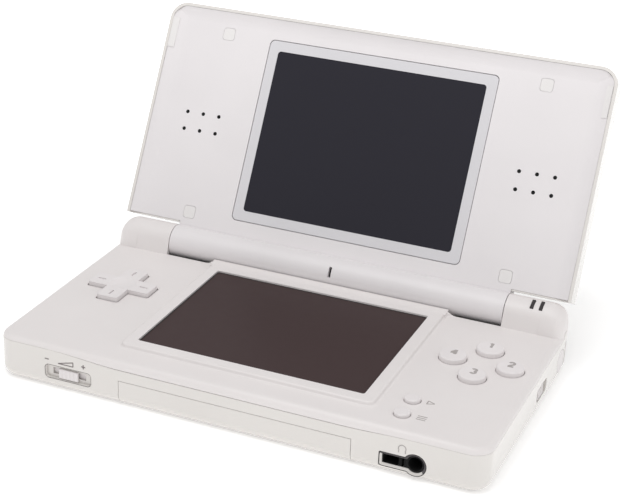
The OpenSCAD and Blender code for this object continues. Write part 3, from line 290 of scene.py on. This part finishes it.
def plastic(name, rgb, rough=0.35, coat=0.0, grain=0.00001, tint=0.02, ior=1.49, grain_scale=9000,
            edge=0.0):
    """Moulded plastic: a faint cloud of colour, uneven gloss and moulded grain of a depth in metres."""
    n = Nodes(name)
    low = tuple(c * (1 - tint) for c in linear(rgb))
    high = tuple(min(1, c * (1 + tint)) for c in linear(rgb))
    n.colour(n.spread(n.noise(35, 3), 0, 1), low, high)
    n.link(n.spread(n.noise(420, 4), rough * 0.86, rough * 1.14), n.shader.inputs["Roughness"])
    n.shader.inputs["IOR"].default_value = ior
    n.shader.inputs["Coat Weight"].default_value = coat
    n.shader.inputs["Coat Roughness"].default_value = COAT_ROUGH
    n.relief(n.noise(grain_scale, 2, 0.6) if grain else None, grain, edge)
    return n.material


def metal(name, rgb, rough=0.35):
    """Plated sheet metal with fine brushing and a few dull patches."""
    n = Nodes(name)
    bright = linear(rgb)
    n.colour(n.spread(n.noise(60, 4), 0, 1), tuple(c * 0.86 for c in bright), bright)
    n.link(n.spread(n.noise(900, 5), rough * 0.7, rough * 1.3), n.shader.inputs["Roughness"])
    n.shader.inputs["Metallic"].default_value = 1.0
    n.relief(n.noise(5000, 2), 0.000004)
    return n.material


FLOOR_GLOW = (0.24, 0.6)    # a table that glows as painted light, dimmer under the object than far from it
FLOOR_GLOW_AT = (0.08, 0.22)    # metres from the middle at which it has those strengths


def floor_material():
    n = Nodes("floor_pale")
    n.colour(n.spread(n.noise(6, 3), 0, 1), linear((250, 250, 250)), linear((255, 255, 255)))
    n.link(n.spread(n.noise(90, 3), 0.85, 0.95), n.shader.inputs["Roughness"])
    distance = n.add("ShaderNodeVectorMath", operation="LENGTH")
    n.link(n.place, distance.inputs[0])
    glow = n.spread(distance.outputs["Value"], *FLOOR_GLOW, *FLOOR_GLOW_AT)
    n.link(glow, n.shader.inputs["Emission Strength"])
    n.shader.inputs["Emission Color"].default_value = (1, 1, 1, 1)
    return n.material


MATERIALS = {
    "face": plastic("face_white", (228, 224, 225), 0.42, grain=0.000006, edge=EDGE_SOFT),
    "plate": plastic("plate_white", (229, 224, 223), 0.40, grain=0.000006),
    "shell": plastic("shell_white", (224, 220, 216), 0.24, coat=0.5, grain=0, edge=EDGE_SOFT),
    "button": plastic("button_white", (229, 224, 224), 0.38, grain=0.000004, edge=EDGE_SOFT),
    "border": plastic("border_white", (214, 212, 215), 0.2, coat=0.5, grain=0),
    "ink": plastic("mark_grey", (168, 162, 160), 0.5, grain=0.000002),
    "dark_ink": plastic("mark_dark_grey", (122, 114, 114), 0.5, grain=0.000002),
    # painted shade for the top and right part of the socket's collar
    "dark_grey": plastic("dark_grey", (84, 80, 82), 0.5, grain=0.000004),
    "shadow_grey": plastic("shadow_grey", (120, 115, 112), 0.6, grain=0.000004),
    "rubber_white": plastic("rubber_white", (229, 226, 225), 0.6, grain=0.000006),
    "rubber": plastic("rubber_grey", (120, 120, 122), 0.7),
    # also used as painted shadow, in the gap round the sockets and in the strips before the barrel
    "black": plastic("black_plastic", (24, 23, 26), 0.4, grain=0.000006),
    "hole": plastic("black_cloth", (8, 8, 9), 0.9, grain=0.00002, grain_scale=3000),
    "lights": plastic("smoked_light", (46, 40, 42), 0.3, grain=0),
    "upper_glass": plastic("upper_glass", (46, 45, 52), 0.12, grain=0, ior=1.2, tint=0.01),
    "lower_glass": plastic("lower_glass", (72, 60, 60), 0.35, grain=0, ior=1.1, tint=0.01),
    "steel": metal("plated_steel", (180, 182, 186)),
    "board": plastic("board_green", (30, 84, 56), 0.3),
    "copper": plastic("cable_amber", (176, 118, 54)),
    "battery": plastic("battery_grey", (88, 88, 92), 0.45),
    "nylon": plastic("nylon", (206, 206, 200), 0.5),
    "floor": floor_material(),
}

LOOKS = {
    "shell": "base_lower_shell battery_cover cartridge_slot_cover left_shoulder_button "
             "right_shoulder_button lid_outer_shell",
    "plate": "base_top_shell lower_screen_frame",
    "face": "lid_inner_shell",
    "button": "dpad button_top button_right button_bottom button_left start_button select_button "
              "volume_slider power_slider stylus",
    "border": "upper_mask",
    "upper_glass": "upper_lens",
    "lower_glass": "touch_panel",
    "rubber_white": "screw_caps lid_screw_caps lid_side_tabs",
    "rubber": "dpad_pad face_button_pad small_button_pad",
    "black": "cartridge_connector lower_display upper_display",
    "hole": "headphone_socket accessory_socket charging_socket microphone speaker_meshes",
    "lights": "status_lights",
    "steel": "battery_cover_screw base_screws card_slot lower_display_tray left_shoulder_pin "
             "right_shoulder_pin volume_switch power_switch hinge_cartridge hinge_shaft "
             "upper_display_tray left_speaker right_speaker lid_screws",
    "board": "main_board radio_board",
    "copper": "display_cable",
    "battery": "battery_pack",
    "nylon": "hinge_bush",
}


def dress():
    """Gives every carried-over CAD node its material."""
    for material, names in LOOKS.items():
        for name in names.split():
            NODES[name].data.materials.clear()
            NODES[name].data.materials.append(MATERIALS[material])


# ---------- mesh helpers ----------


def lid_point(x, v, z):
    """A point on the open lid."""
    c, s = math.cos(LID_ANGLE), math.sin(LID_ANGLE)
    return (x, HINGE_Y - v * c - z * s, HINGE_Z + v * s - z * c)


def front_point(x, z, out):
    """A point on the base's front wall, raised out of it."""
    return (x, FRONT_Y - out, z)


def side_point(y, z, out):
    """A point on the base's right wall, raised out of it."""
    return (HALF_W + out, y, z)


def level(z=0.0, middle=(0, 0), scale=1):
    """A place function for a level surface: across and back from a middle, and a height."""
    def place(x, y, h):
        return (middle[0] + x * scale, middle[1] + y * scale, z + h)

    return place


def shown(name, mesh, material, body, smooth=30):
    """Puts a mesh in the scene, shaded smooth below an angle in degrees, riding a body."""
    mesh.shade_smooth()
    mesh.set_sharp_from_angle(angle=math.radians(smooth))
    mesh.materials.clear()
    mesh.materials.append(MATERIALS[material])
    obj = bpy.data.objects.new(name, mesh)
    bpy.context.collection.objects.link(obj)
    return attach(obj, body)


def piece(name, verts, faces, material, body, smooth=30):
    """One piece from places and faces."""
    mesh = bpy.data.meshes.new(name)
    bm = bmesh.new()
    made = [bm.verts.new([c * MM for c in v]) for v in verts]
    for face in faces:
        bm.faces.new([made[i] for i in face])
    bmesh.ops.recalc_face_normals(bm, faces=bm.faces)
    bm.to_mesh(mesh)
    bm.free()
    return shown(name, mesh, material, body, smooth)


def skin(rings, closed_path=False):
    """Faces that join closed rings of equal length, with end faces unless the path closes."""
    n = len(rings[0])
    verts = [p for ring in rings for p in ring]
    faces = []
    for i in range(len(rings) if closed_path else len(rings) - 1):
        a, b = i * n, (i + 1) % len(rings) * n
        faces += [(a + j, a + (j + 1) % n, b + (j + 1) % n, b + j) for j in range(n)]
    if not closed_path:
        faces.append(tuple(range(n)))
        faces.append(tuple(range(len(verts) - n, len(verts))))
    return verts, faces


def joined(parts):
    """Several skins as one."""
    verts, faces = [], []
    for part_verts, part_faces in parts:
        faces += [tuple(i + len(verts) for i in face) for face in part_faces]
        verts += part_verts
    return verts, faces


def arc(cx, cy, r, start, end, steps):
    """Points on an arc between two angles in degrees, with the outward direction at each."""
    made = []
    for i in range(steps + 1):
        a = math.radians(start + (end - start) * i / steps)
        made.append((cx + r * math.cos(a), cy + r * math.sin(a), math.cos(a), math.sin(a)))
    return made


def rounded_rect(cx, cy, w, h, r, steps=6):
    """A rounded rectangle's outline with its outward directions, counterclockwise."""
    x, y = w / 2 - r, h / 2 - r
    made = []
    for sx, sy, start in ((1, -1, -90), (1, 1, 0), (-1, 1, 90), (-1, -1, 180)):
        made += arc(cx + sx * x, cy + sy * y, r, start, start + 90, steps)
    return made


def ring_along(outline, profile, place):
    """A closed band whose section is a list of (inset, height) along an outline."""
    return skin(
        [[place(x - nx * d, y - ny * d, h) for d, h in profile] for x, y, nx, ny in outline],
        closed_path=True,
    )


def slab(name, outline, heights, place, material, body, bevel=0.0):
    """A flat plate between two heights with an optional chamfer round its upper edge."""
    low, high = heights
    levels = [(0, low), (0, high - bevel)] + ([(bevel, high)] if bevel else [])
    rings = [[place(x - nx * d, y - ny * d, h) for x, y, nx, ny in outline] for d, h in levels]
    return piece(name, *skin(rings), material, body)


def ease(t):
    t = min(1.0, max(0.0, t))
    return t * t * (3 - 2 * t)


# ---------- printed marks ----------


def strokes(name, lines, width, place, material, body):
    """Lines of even width, as a film of ink: place maps (across, up, height) to the world."""
    parts = []
    for number, line in enumerate(lines):
        top = INK + INK_STEP * number
        rings = []
        for i, (x, y) in enumerate(line):
            ax, ay = line[max(i - 1, 0)]
            bx, by = line[min(i + 1, len(line) - 1)]
            length = math.hypot(bx - ax, by - ay)
            nx, ny = -(by - ay) / length * width / 2, (bx - ax) / length * width / 2
            rings.append([
                place(x + nx, y + ny, -INK_DEPTH), place(x + nx, y + ny, top),
                place(x - nx, y - ny, top), place(x - nx, y - ny, -INK_DEPTH),
            ])
        parts.append(skin(rings))
    return piece(name, *joined(parts), material, body)


def bow(cx, cy, r, start, end):
    return [(x, y) for x, y, _, _ in arc(cx, cy, r, start, end, 14)]


def sides(corners):
    """The sides of a closed outline, as lines of their own."""
    return [[corners[k - 1], corners[k]] for k in range(len(corners))]


# Numbers one unit high about their middle, as the lines of a pen
NUMERALS = {
    "1": [[(-0.2, 0.28), (0.04, 0.5)], [(0.04, 0.55), (0.04, -0.5)]],
    "2": [bow(0, 0.22, 0.28, 165, -40) + [(-0.28, -0.46)], [(-0.33, -0.5), (0.32, -0.5)]],
    "3": [bow(0, 0.24, 0.26, 150, -80), bow(0, -0.24, 0.27, 85, -150)],
    "4": [[(0.14, -0.5), (0.14, 0.55)], [(0.12, 0.5), (-0.32, -0.15)], [(-0.38, -0.18), (0.36, -0.18)]],
}
BUTTON_MARKS = {"button_top": "1", "button_right": "2", "button_bottom": "3", "button_left": "4"}


def button_marks():
    """A plain number printed on each of the four round buttons."""
    for node, numeral in BUTTON_MARKS.items():
        low, high = node_box(node)
        middle = ((low.x + high.x) / 2, (low.y + high.y) / 2 + MARK_RAISE)
        place = level(high.z, middle, NUMERAL_H)
        strokes("numeral_" + numeral, NUMERALS[numeral], NUMERAL_LINE, place, "ink", node)


def plate_marks():
    """Marks beside the two small buttons: a play triangle, and a list of three bars."""
    half = 0.8
    x, y = START_MARK
    triangle = sides([(x, y - half), (x, y + half), (x + 1.8, y)])
    strokes("start_mark", triangle, PLATE_LINE, level(PLATE_Z), "ink", "base")
    x, y = SELECT_MARK
    bars = [[(x, y + k), (x + 2.4, y + k)] for k in (-half, 0, half)]
    strokes("select_mark", bars, PLATE_LINE, level(PLATE_Z), "ink", "base")


def front_marks():
    """Less, a wedge that grows, and more above the volume slide; a headset above its socket."""
    arm = 0.6
    x, z = LESS_MARK
    minus = [[(x - arm, z), (x + arm, z)]]
    strokes("volume_less", minus, SIGN_LINE, front_point, "dark_ink", "base")
    x, z = MORE_MARK
    plus = [[(x - arm, z), (x + arm, z)], [(x, z - arm), (x, z + arm)]]
    strokes("volume_more", plus, SIGN_LINE, front_point, "dark_ink", "base")
    x, z = WEDGE_MARK
    wedge = sides([(x - 2.2, z - 0.55), (x + 2.2, z - 0.55), (x + 2.2, z + 0.65)])
    strokes("volume_wedge", wedge, WEDGE_LINE, front_point, "dark_ink", "base")
    x, z = HEADSET_MARK
    ears = [[(x + k, z - 0.35), (x + k, z - 1.2)] for k in (-0.85, 0.85)]
    band = bow(x, z, 0.95, 215, -35)
    strokes("headset_mark", [band] + ears, HEADSET_LINE, front_point, "ink", "base")


# ---------- the base's rolled top edge ----------


def edge_path():
    """Plan of the base's left side, front and right side, from knuckle to knuckle."""
    x, y = HALF_W - PLAN_R, FRONT_Y + PLAN_R
    path = [(-HALF_W, EDGE_END_Y, -1, 0)]
    path += arc(-x, y, PLAN_R, 180, 270, CORNER_STEPS)
    path += [(x * (2 * i / FRONT_STEPS - 1), FRONT_Y, 0, -1) for i in range(1, FRONT_STEPS)]
    path += arc(x, y, PLAN_R, 270, 360, CORNER_STEPS)
    return path + [(HALF_W, EDGE_END_Y, 1, 0)]


def seam(x):
    """Height of the parting line and width of its groove: it dips in the middle of the front."""
    left = ease((-SEAM_MIDDLE - x) / SEAM_LEFT[0])
    right = ease((x - SEAM_MIDDLE) / SEAM_RIGHT[0])
    rise = SEAM_LEFT[1] * left + SEAM_RIGHT[1] * right
    return SEAM_Z + rise, SEAM_GAP * (1 - SEAM_FADE * max(left, right))


def on_roll(turn):
    """Inset and height of the rolled edge at an angle above the wall."""
    return ROLL * (1 - math.cos(turn)), PLATE_Z - ROLL * (1 - math.sin(turn))


def roll_start(z):
    """The angle at which the roll is at a height, or 0 where the height is below it."""
    return math.asin(min(1.0, max(0.0, (z - PLATE_Z + ROLL) / ROLL)))


def knee(z):
    """The bend on the piece's hidden side, above the parting line at a height."""
    return (EDGE_T, max(z + EDGE_KNEE_RISE, EDGE_KNEE_Z))


def edge_section(x):
    """The top part's edge: from the parting line over the roll onto the plate, and back below."""
    z, _ = seam(x)
    first = roll_start(z)
    second = first + 0.03
    outer = [on_roll(first) if first else (0, z)]
    turn = math.pi / 2 - second
    outer += [on_roll(second + turn * k / ROLL_STEPS) for k in range(ROLL_STEPS + 1)]
    inner = [(EDGE_W, PLATE_Z), (EDGE_W, EDGE_FLOOR), (EDGE_W - EDGE_LIP, EDGE_FLOOR)]
    return outer + inner + [knee(z), (EDGE_T, z)]


def cut_section(x):
    """What is taken off the tub and plate for that edge, with the groove below it."""
    z, gap = seam(x)
    foot = z - gap
    last = roll_start(foot)
    out, top = -EDGE_CLEAR[0], PLATE_Z + EDGE_CLEAR[1]
    wall = [on_roll(last * k / 3) if last else (0, foot - 0.01 * (3 - k)) for k in range(4)]
    inner = [(EDGE_T, foot), knee(z), (EDGE_W - EDGE_LIP, EDGE_FLOOR)]
    inner += [(EDGE_W, EDGE_FLOOR), (EDGE_W, top)]
    return [(out, wall[0][1])] + wall + inner + [(out, top)]


def swept(section):
    return skin([
        [(x - nx * d, y - ny * d, z) for d, z in section(x)] for x, y, nx, ny in edge_path()
    ])


def recut(name, node, cutter, material):
    """A copy of a CAD node's mesh with a cutter's form taken away, in the node's place."""
    bm = bmesh.new()
    bm.from_mesh(NODES[node].data)
    bmesh.ops.remove_doubles(bm, verts=bm.verts, dist=1e-7)
    mesh = bpy.data.meshes.new(name)
    bm.to_mesh(mesh)
    bm.free()
    work = bpy.data.objects.new(name + "_work", mesh)
    bpy.context.collection.objects.link(work)
    change = work.modifiers.new("cut", "BOOLEAN")
    change.operation = "DIFFERENCE"
    change.solver = "EXACT"
    change.object = cutter
    graph = bpy.context.evaluated_depsgraph_get()
    cut = bpy.data.meshes.new_from_object(work.evaluated_get(graph))
    bpy.data.objects.remove(work)
    cut.name = name
    if "custom_normal" in cut.attributes:
        cut.attributes.remove(cut.attributes["custom_normal"])
    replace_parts(shown(name, cut, material, "base"), node)


def rolled_edge():
    cutter = piece("edge_cutter", *swept(cut_section), "plate", "base")
    recut("tub", "base_lower_shell", cutter, "shell")
    recut("deck", "base_top_shell", cutter, "plate")
    bpy.data.objects.remove(cutter)
    piece("deck_edge", *swept(edge_section), "plate", "base", smooth=25)


# ---------- hinge knuckles ----------


def knuckle_ring(side, x, outer):
    """One section of a knuckle's end, at a distance from the middle of the console."""
    past = max(0, x - (outer - KNUCKLE_CORNER))
    ahead = KNUCKLE_R - KNUCKLE_CORNER + math.sqrt(max(0, KNUCKLE_CORNER**2 - past**2))
    round_back = max(0, x - (HALF_W - PLAN_R))
    behind = min(KNUCKLE_R, math.sqrt(PLAN_R**2 - round_back**2) - KNUCKLE_BACK)
    along = max(0.0, (x - DOME_X) / (outer - DOME_X))
    up = max(DOME_END, KNUCKLE_R * (1 - along**DOME_POWER) ** (1 / DOME_POWER))
    ahead /= KNUCKLE_R
    foot_y = HINGE_Y - KNUCKLE_FOOT * ahead
    ring = [(side * x, foot_y, KNUCKLE_FOOT_Z), (side * x, foot_y, PLATE_Z)]
    for k in range(KNUCKLE_ARC + 1):
        a = (math.pi - KNUCKLE_LEAN) * (1 - k / KNUCKLE_ARC)
        reach = KNUCKLE_R * math.cos(a)
        across = reach * (ahead if reach < 0 else behind / KNUCKLE_R)
        ring.append((side * x, HINGE_Y + across, HINGE_Z + up * math.sin(a)))
    ring.append((side * x, HINGE_Y + behind, KNUCKLE_FOOT_Z))
    return ring


def knuckle_end(name, side):
    """The rounded outer end of a hinge knuckle: a dome on a block with small plan corners."""
    inner, outer = HALF_W - KNUCKLE_END_W, HALF_W - KNUCKLE_INSET
    rings = []
    for i in range(KNUCKLE_RINGS + 1):
        along = math.sin(math.pi / 2 * i / KNUCKLE_RINGS)
        rings.append(knuckle_ring(side, inner + (outer - inner) * along, outer))
    piece(name, *skin(rings), "plate", "base", smooth=35)


def trough_shadow_strip(name, side):
    """A black strip in the open gap in front of the barrel, beside the screen's frame: painted shadow
    in that gap.
    """
    middle = side * (STRIP_IN + STRIP_OUT) / 2
    outline = rounded_rect(middle, STRIP_Y, STRIP_OUT - STRIP_IN, STRIP_W, STRIP_R)
    heights = (STRIP_Z - STRIP_T, STRIP_Z)
    slab(name, outline, heights, level(), "black", "base", bevel=STRIP_EDGE)


# ---------- screens ----------


def upper_panel():
    """One clear-fronted panel: a pale printed border round a dark window."""
    low, high = node_box("upper_lens")
    outline = rounded_rect(0, UPPER_V, high.x - low.x - LENS_CLEAR, LENS_H - LENS_CLEAR, LENS_R)
    inner = rounded_rect(0, UPPER_V, WINDOW_W, WINDOW_H, WINDOW_R)
    back = LID_FACE - LENS_T
    rings = []
    for (x, y, nx, ny), (u, v, _, _) in zip(outline, inner):
        rings.append([
            lid_point(x, y, back), lid_point(x, y, LID_FACE - LENS_EDGE),
            lid_point(x - nx * LENS_EDGE, y - ny * LENS_EDGE, LID_FACE),
            lid_point(u, v, LID_FACE), lid_point(u, v, back),
        ])
    border = piece("screen_border", *skin(rings, closed_path=True), "border", "lid")
    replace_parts(border, "upper_mask")
    heights = (LID_FACE - WINDOW_BACK, LID_FACE - WINDOW_SINK)
    window = slab("screen_window", inner, heights, lid_point, "upper_glass", "lid")
    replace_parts(window, "upper_lens")


def lower_panel():
    """The touch panel, set a little below its frame, with a black line round it."""
    low, high = node_box("touch_panel")
    cx, cy = (low.x + high.x) / 2, (low.y + high.y) / 2
    outline = rounded_rect(cx, cy, high.x - low.x, high.y - low.y, TOUCH_R)
    glass = slab("touch_window", outline, (low.z, TOUCH_Z), level(), "lower_glass", "base")
    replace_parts(glass, "touch_panel")
    outline = rounded_rect(cx, cy, WINDOW_W + LINE_GROWTH, WINDOW_H + LINE_GROWTH, LINE_R)
    section = [(0, LINE_FOOT), (0, LINE_TOP), (LINE_W, LINE_TOP), (LINE_W, LINE_FOOT)]
    piece("touch_line", *ring_along(outline, section, level()), "black", "base")


def sound_hole_cloth():
    """Black cloth close behind the mouth of each sound hole."""
    discs = []
    for side in (-1, 1):
        for column in (-1, 0, 1):
            for row in (-0.5, 0.5):
                x = side * (SPEAKER_X + column * SOUND_PITCH)
                v = SPEAKER_V + row * SOUND_PITCH
                last = 360 - 360 / CLOTH_POINTS
                outline = arc(x, v, SOUND_R, 0, last, CLOTH_POINTS - 1)
                discs.append(skin([
                    [lid_point(px, py, LID_FACE - depth) for px, py, _, _ in outline]
                    for depth in CLOTH_DEPTHS
                ]))
    piece("sound_hole_cloth", *joined(discs), "hole", "lid")


# ---------- openings in the front wall ----------

# Sections of the rings in them, as (inset, height out of the wall)
SOCKET_GAP = ((-0.02, -0.6), (-0.02, -0.06), (0.2, -0.1), (0.2, -0.6))
SOCKET_RIM = ((0.2, -0.6), (0.2, -0.04), (0.3, -0.02), (0.72, -0.45), (0.72, -0.6))
VOLUME_GAP = ((-0.02, -0.85), (-0.02, -0.05), (0.16, -0.08), (0.16, -0.85))
VOLUME_RIM = ((0.16, -0.85), (0.16, -0.04), (0.24, -0.03), (0.32, -0.8), (0.32, -0.85))


def keyhole(inset):
    """The joined outline of the flat and round sockets, counterclockwise seen from the front."""
    r, rc = SOCKET_R - inset, max(0.15, SLOT_R - inset)
    left, low, high = SLOT_LEFT + inset, SLOT_LOW + inset, SLOT_HIGH - inset

    def angle_at(z):
        """Where the flat socket's edge at a height meets the round one, in degrees."""
        across = math.sqrt(r * r - (z - SOCKET_Z) ** 2)
        return math.degrees(math.atan2(z - SOCKET_Z, -across))

    points = arc(left + rc, high - rc, rc, 90, 180, 6) + arc(left + rc, low + rc, rc, 180, 270, 6)
    return points + arc(SOCKET_X, SOCKET_Z, r, angle_at(low), angle_at(high), 30)


def recess(inset):
    """Outline of the volume slide's recess."""
    w, h = VOLUME_W - 2 * inset, VOLUME_H - 2 * inset
    return rounded_rect(VOLUME_X, VOLUME_Z, w, h, max(0.2, VOLUME_R - inset))


def collar(name, outline, section, material, part=None):
    """A ring inside an opening, or the part of it between two of the outline's points."""
    outlines = [[front_point(x, z, out) for x, z, _, _ in outline(d)] for d, out in section]
    rings = [list(points) for points in zip(*outlines)]
    if part:
        count = len(rings)
        rings = [rings[i % count] for i in range(part[0], part[1] + 1)]
    piece(name, *skin(rings, closed_path=not part), material, "base")


def front_openings():
    """A painted shadow round each opening, as a dark ring in its gap, and a pale moulded collar inside
    it; the socket's collar has its top and right part painted dark grey as painted shade.
    """
    # painted shadow: a black ring in the gap round the sockets
    collar("socket_gap_shadow", keyhole, SOCKET_GAP, "black")
    collar("socket_collar", keyhole, SOCKET_RIM, "shell", (PALE_START, PALE_END))
    # painted shade: the rest of the same collar in dark grey
    dark = (PALE_END, len(keyhole(0)) + PALE_START)
    collar("socket_shade", keyhole, SOCKET_RIM, "dark_grey", dark)
    # painted shadow: a grey ring in the gap round the volume slide's recess
    collar("volume_gap_shadow", recess, VOLUME_GAP, "shadow_grey")
    collar("volume_collar", recess, VOLUME_RIM, "shell")


# ---------- slides ----------


def volume_knob():
    """The slide's finger piece with shallow grips, its stem, and the skirt behind the wall."""
    low, high = node_box("volume_slider")
    front = low.y - FRONT_Y
    left, right = low.x + KNOB_SLACK, high.x - KNOB_SLACK
    outline = [(left + KNOB_CORNER, front)]
    for k in range(1, GRIPS + 1):
        x = left + (right - left) * k / (GRIPS + 1)
        floor = front + GRIP_DEPTH
        outline += [(x - GRIP_HALF, front), (x - GRIP_FLOOR, floor)]
        outline += [(x + GRIP_FLOOR, floor), (x + GRIP_HALF, front)]
    outline += [
        (right - KNOB_CORNER, front), (right, front + KNOB_CORNER), (right, KNOB_BACK),
        (left, KNOB_BACK), (left, front + KNOB_CORNER),
    ]
    z0, z1 = VOLUME_Z - KNOB_LOW, VOLUME_Z + KNOB_HIGH
    rings = []
    for z, drop in ((z0, KNOB_SOFT), (z0 + KNOB_SOFT, 0), (z1 - KNOB_SOFT, 0), (z1, KNOB_SOFT)):
        rings.append([
            front_point(x, z, -(max(y, front + drop) if y < KNOB_BACK else y)) for x, y in outline
        ])
    knob = piece("volume_knob", *skin(rings), "button", "volume_slider")
    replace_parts(knob, "volume_slider")
    middle = (low.x + high.x) / 2
    stem = rounded_rect(middle, VOLUME_Z, STEM_W, STEM_H, STEM_R)
    heights = (FRONT_Y - high.y, -KNOB_BACK)
    slab("volume_stem", stem, heights, front_point, "button", "volume_slider")
    skirt = rounded_rect(middle, VOLUME_Z, *VOLUME_SKIRT, SKIRT_R)
    heights = (-SKIRT_Y - SKIRT_T, -SKIRT_Y)
    slab("volume_skirt", skirt, heights, front_point, "button", "volume_slider")


def power_skirt():
    """The screen behind the power slide's stem, so that the slot in the wall never shows open."""
    low, high = node_box("power_slider")
    skirt = rounded_rect((low.y + high.y) / 2, (low.z + high.z) / 2, *POWER_SKIRT, SKIRT_R)
    heights = (-SKIRT_Y, -SKIRT_Y - SKIRT_T)
    slab("power_skirt", skirt, heights, side_point, "button", "power_slider")


# ---------- stage ----------

WORLD_LIGHT = 0.63
LIGHTS = (                  # name, place and size in metres, power in watts
    ("top", (-0.01, -0.09, 0.38), 0.25, 0.52),
    ("right", (0.8, -0.1, 0.3), 0.5, 0.5),
)
FLOOR_HALF = 3              # metres
FLOOR_DROP = 0.00002


def stage():
    mesh = bpy.data.meshes.new("floor")
    bm = bmesh.new()
    bmesh.ops.create_grid(bm, x_segments=1, y_segments=1, size=FLOOR_HALF)
    bm.to_mesh(mesh)
    bm.free()
    mesh.materials.append(MATERIALS["floor"])
    floor = bpy.data.objects.new("floor", mesh)
    floor.location.z = -FLOOR_DROP
    bpy.context.collection.objects.link(floor)
    world = bpy.data.worlds.new("studio")
    world.use_nodes = True
    background = world.node_tree.nodes["Background"]
    background.inputs["Color"].default_value = (1, 1, 1, 1)
    background.inputs["Strength"].default_value = WORLD_LIGHT
    bpy.context.scene.world = world
    bpy.context.scene.view_settings.view_transform = "Standard"
    for name, place, size, power in LIGHTS:
        data = bpy.data.lights.new(name, "AREA")
        data.size, data.energy = size, power
        light = bpy.data.objects.new(name, data)
        light.location = place
        light.rotation_euler = (-Vector(place)).to_track_quat("-Z", "Y").to_euler()
        bpy.context.collection.objects.link(light)


camera()
dress()
rolled_edge()
for which, side in SIDES.items():
    knuckle_end(which + "_knuckle_end", side)
for which, side in SIDES.items():
    trough_shadow_strip(which + "_trough_shadow_strip", side)
upper_panel()
lower_panel()
sound_hole_cloth()
front_openings()
volume_knob()
power_skirt()
button_marks()
plate_marks()
front_marks()
stage()
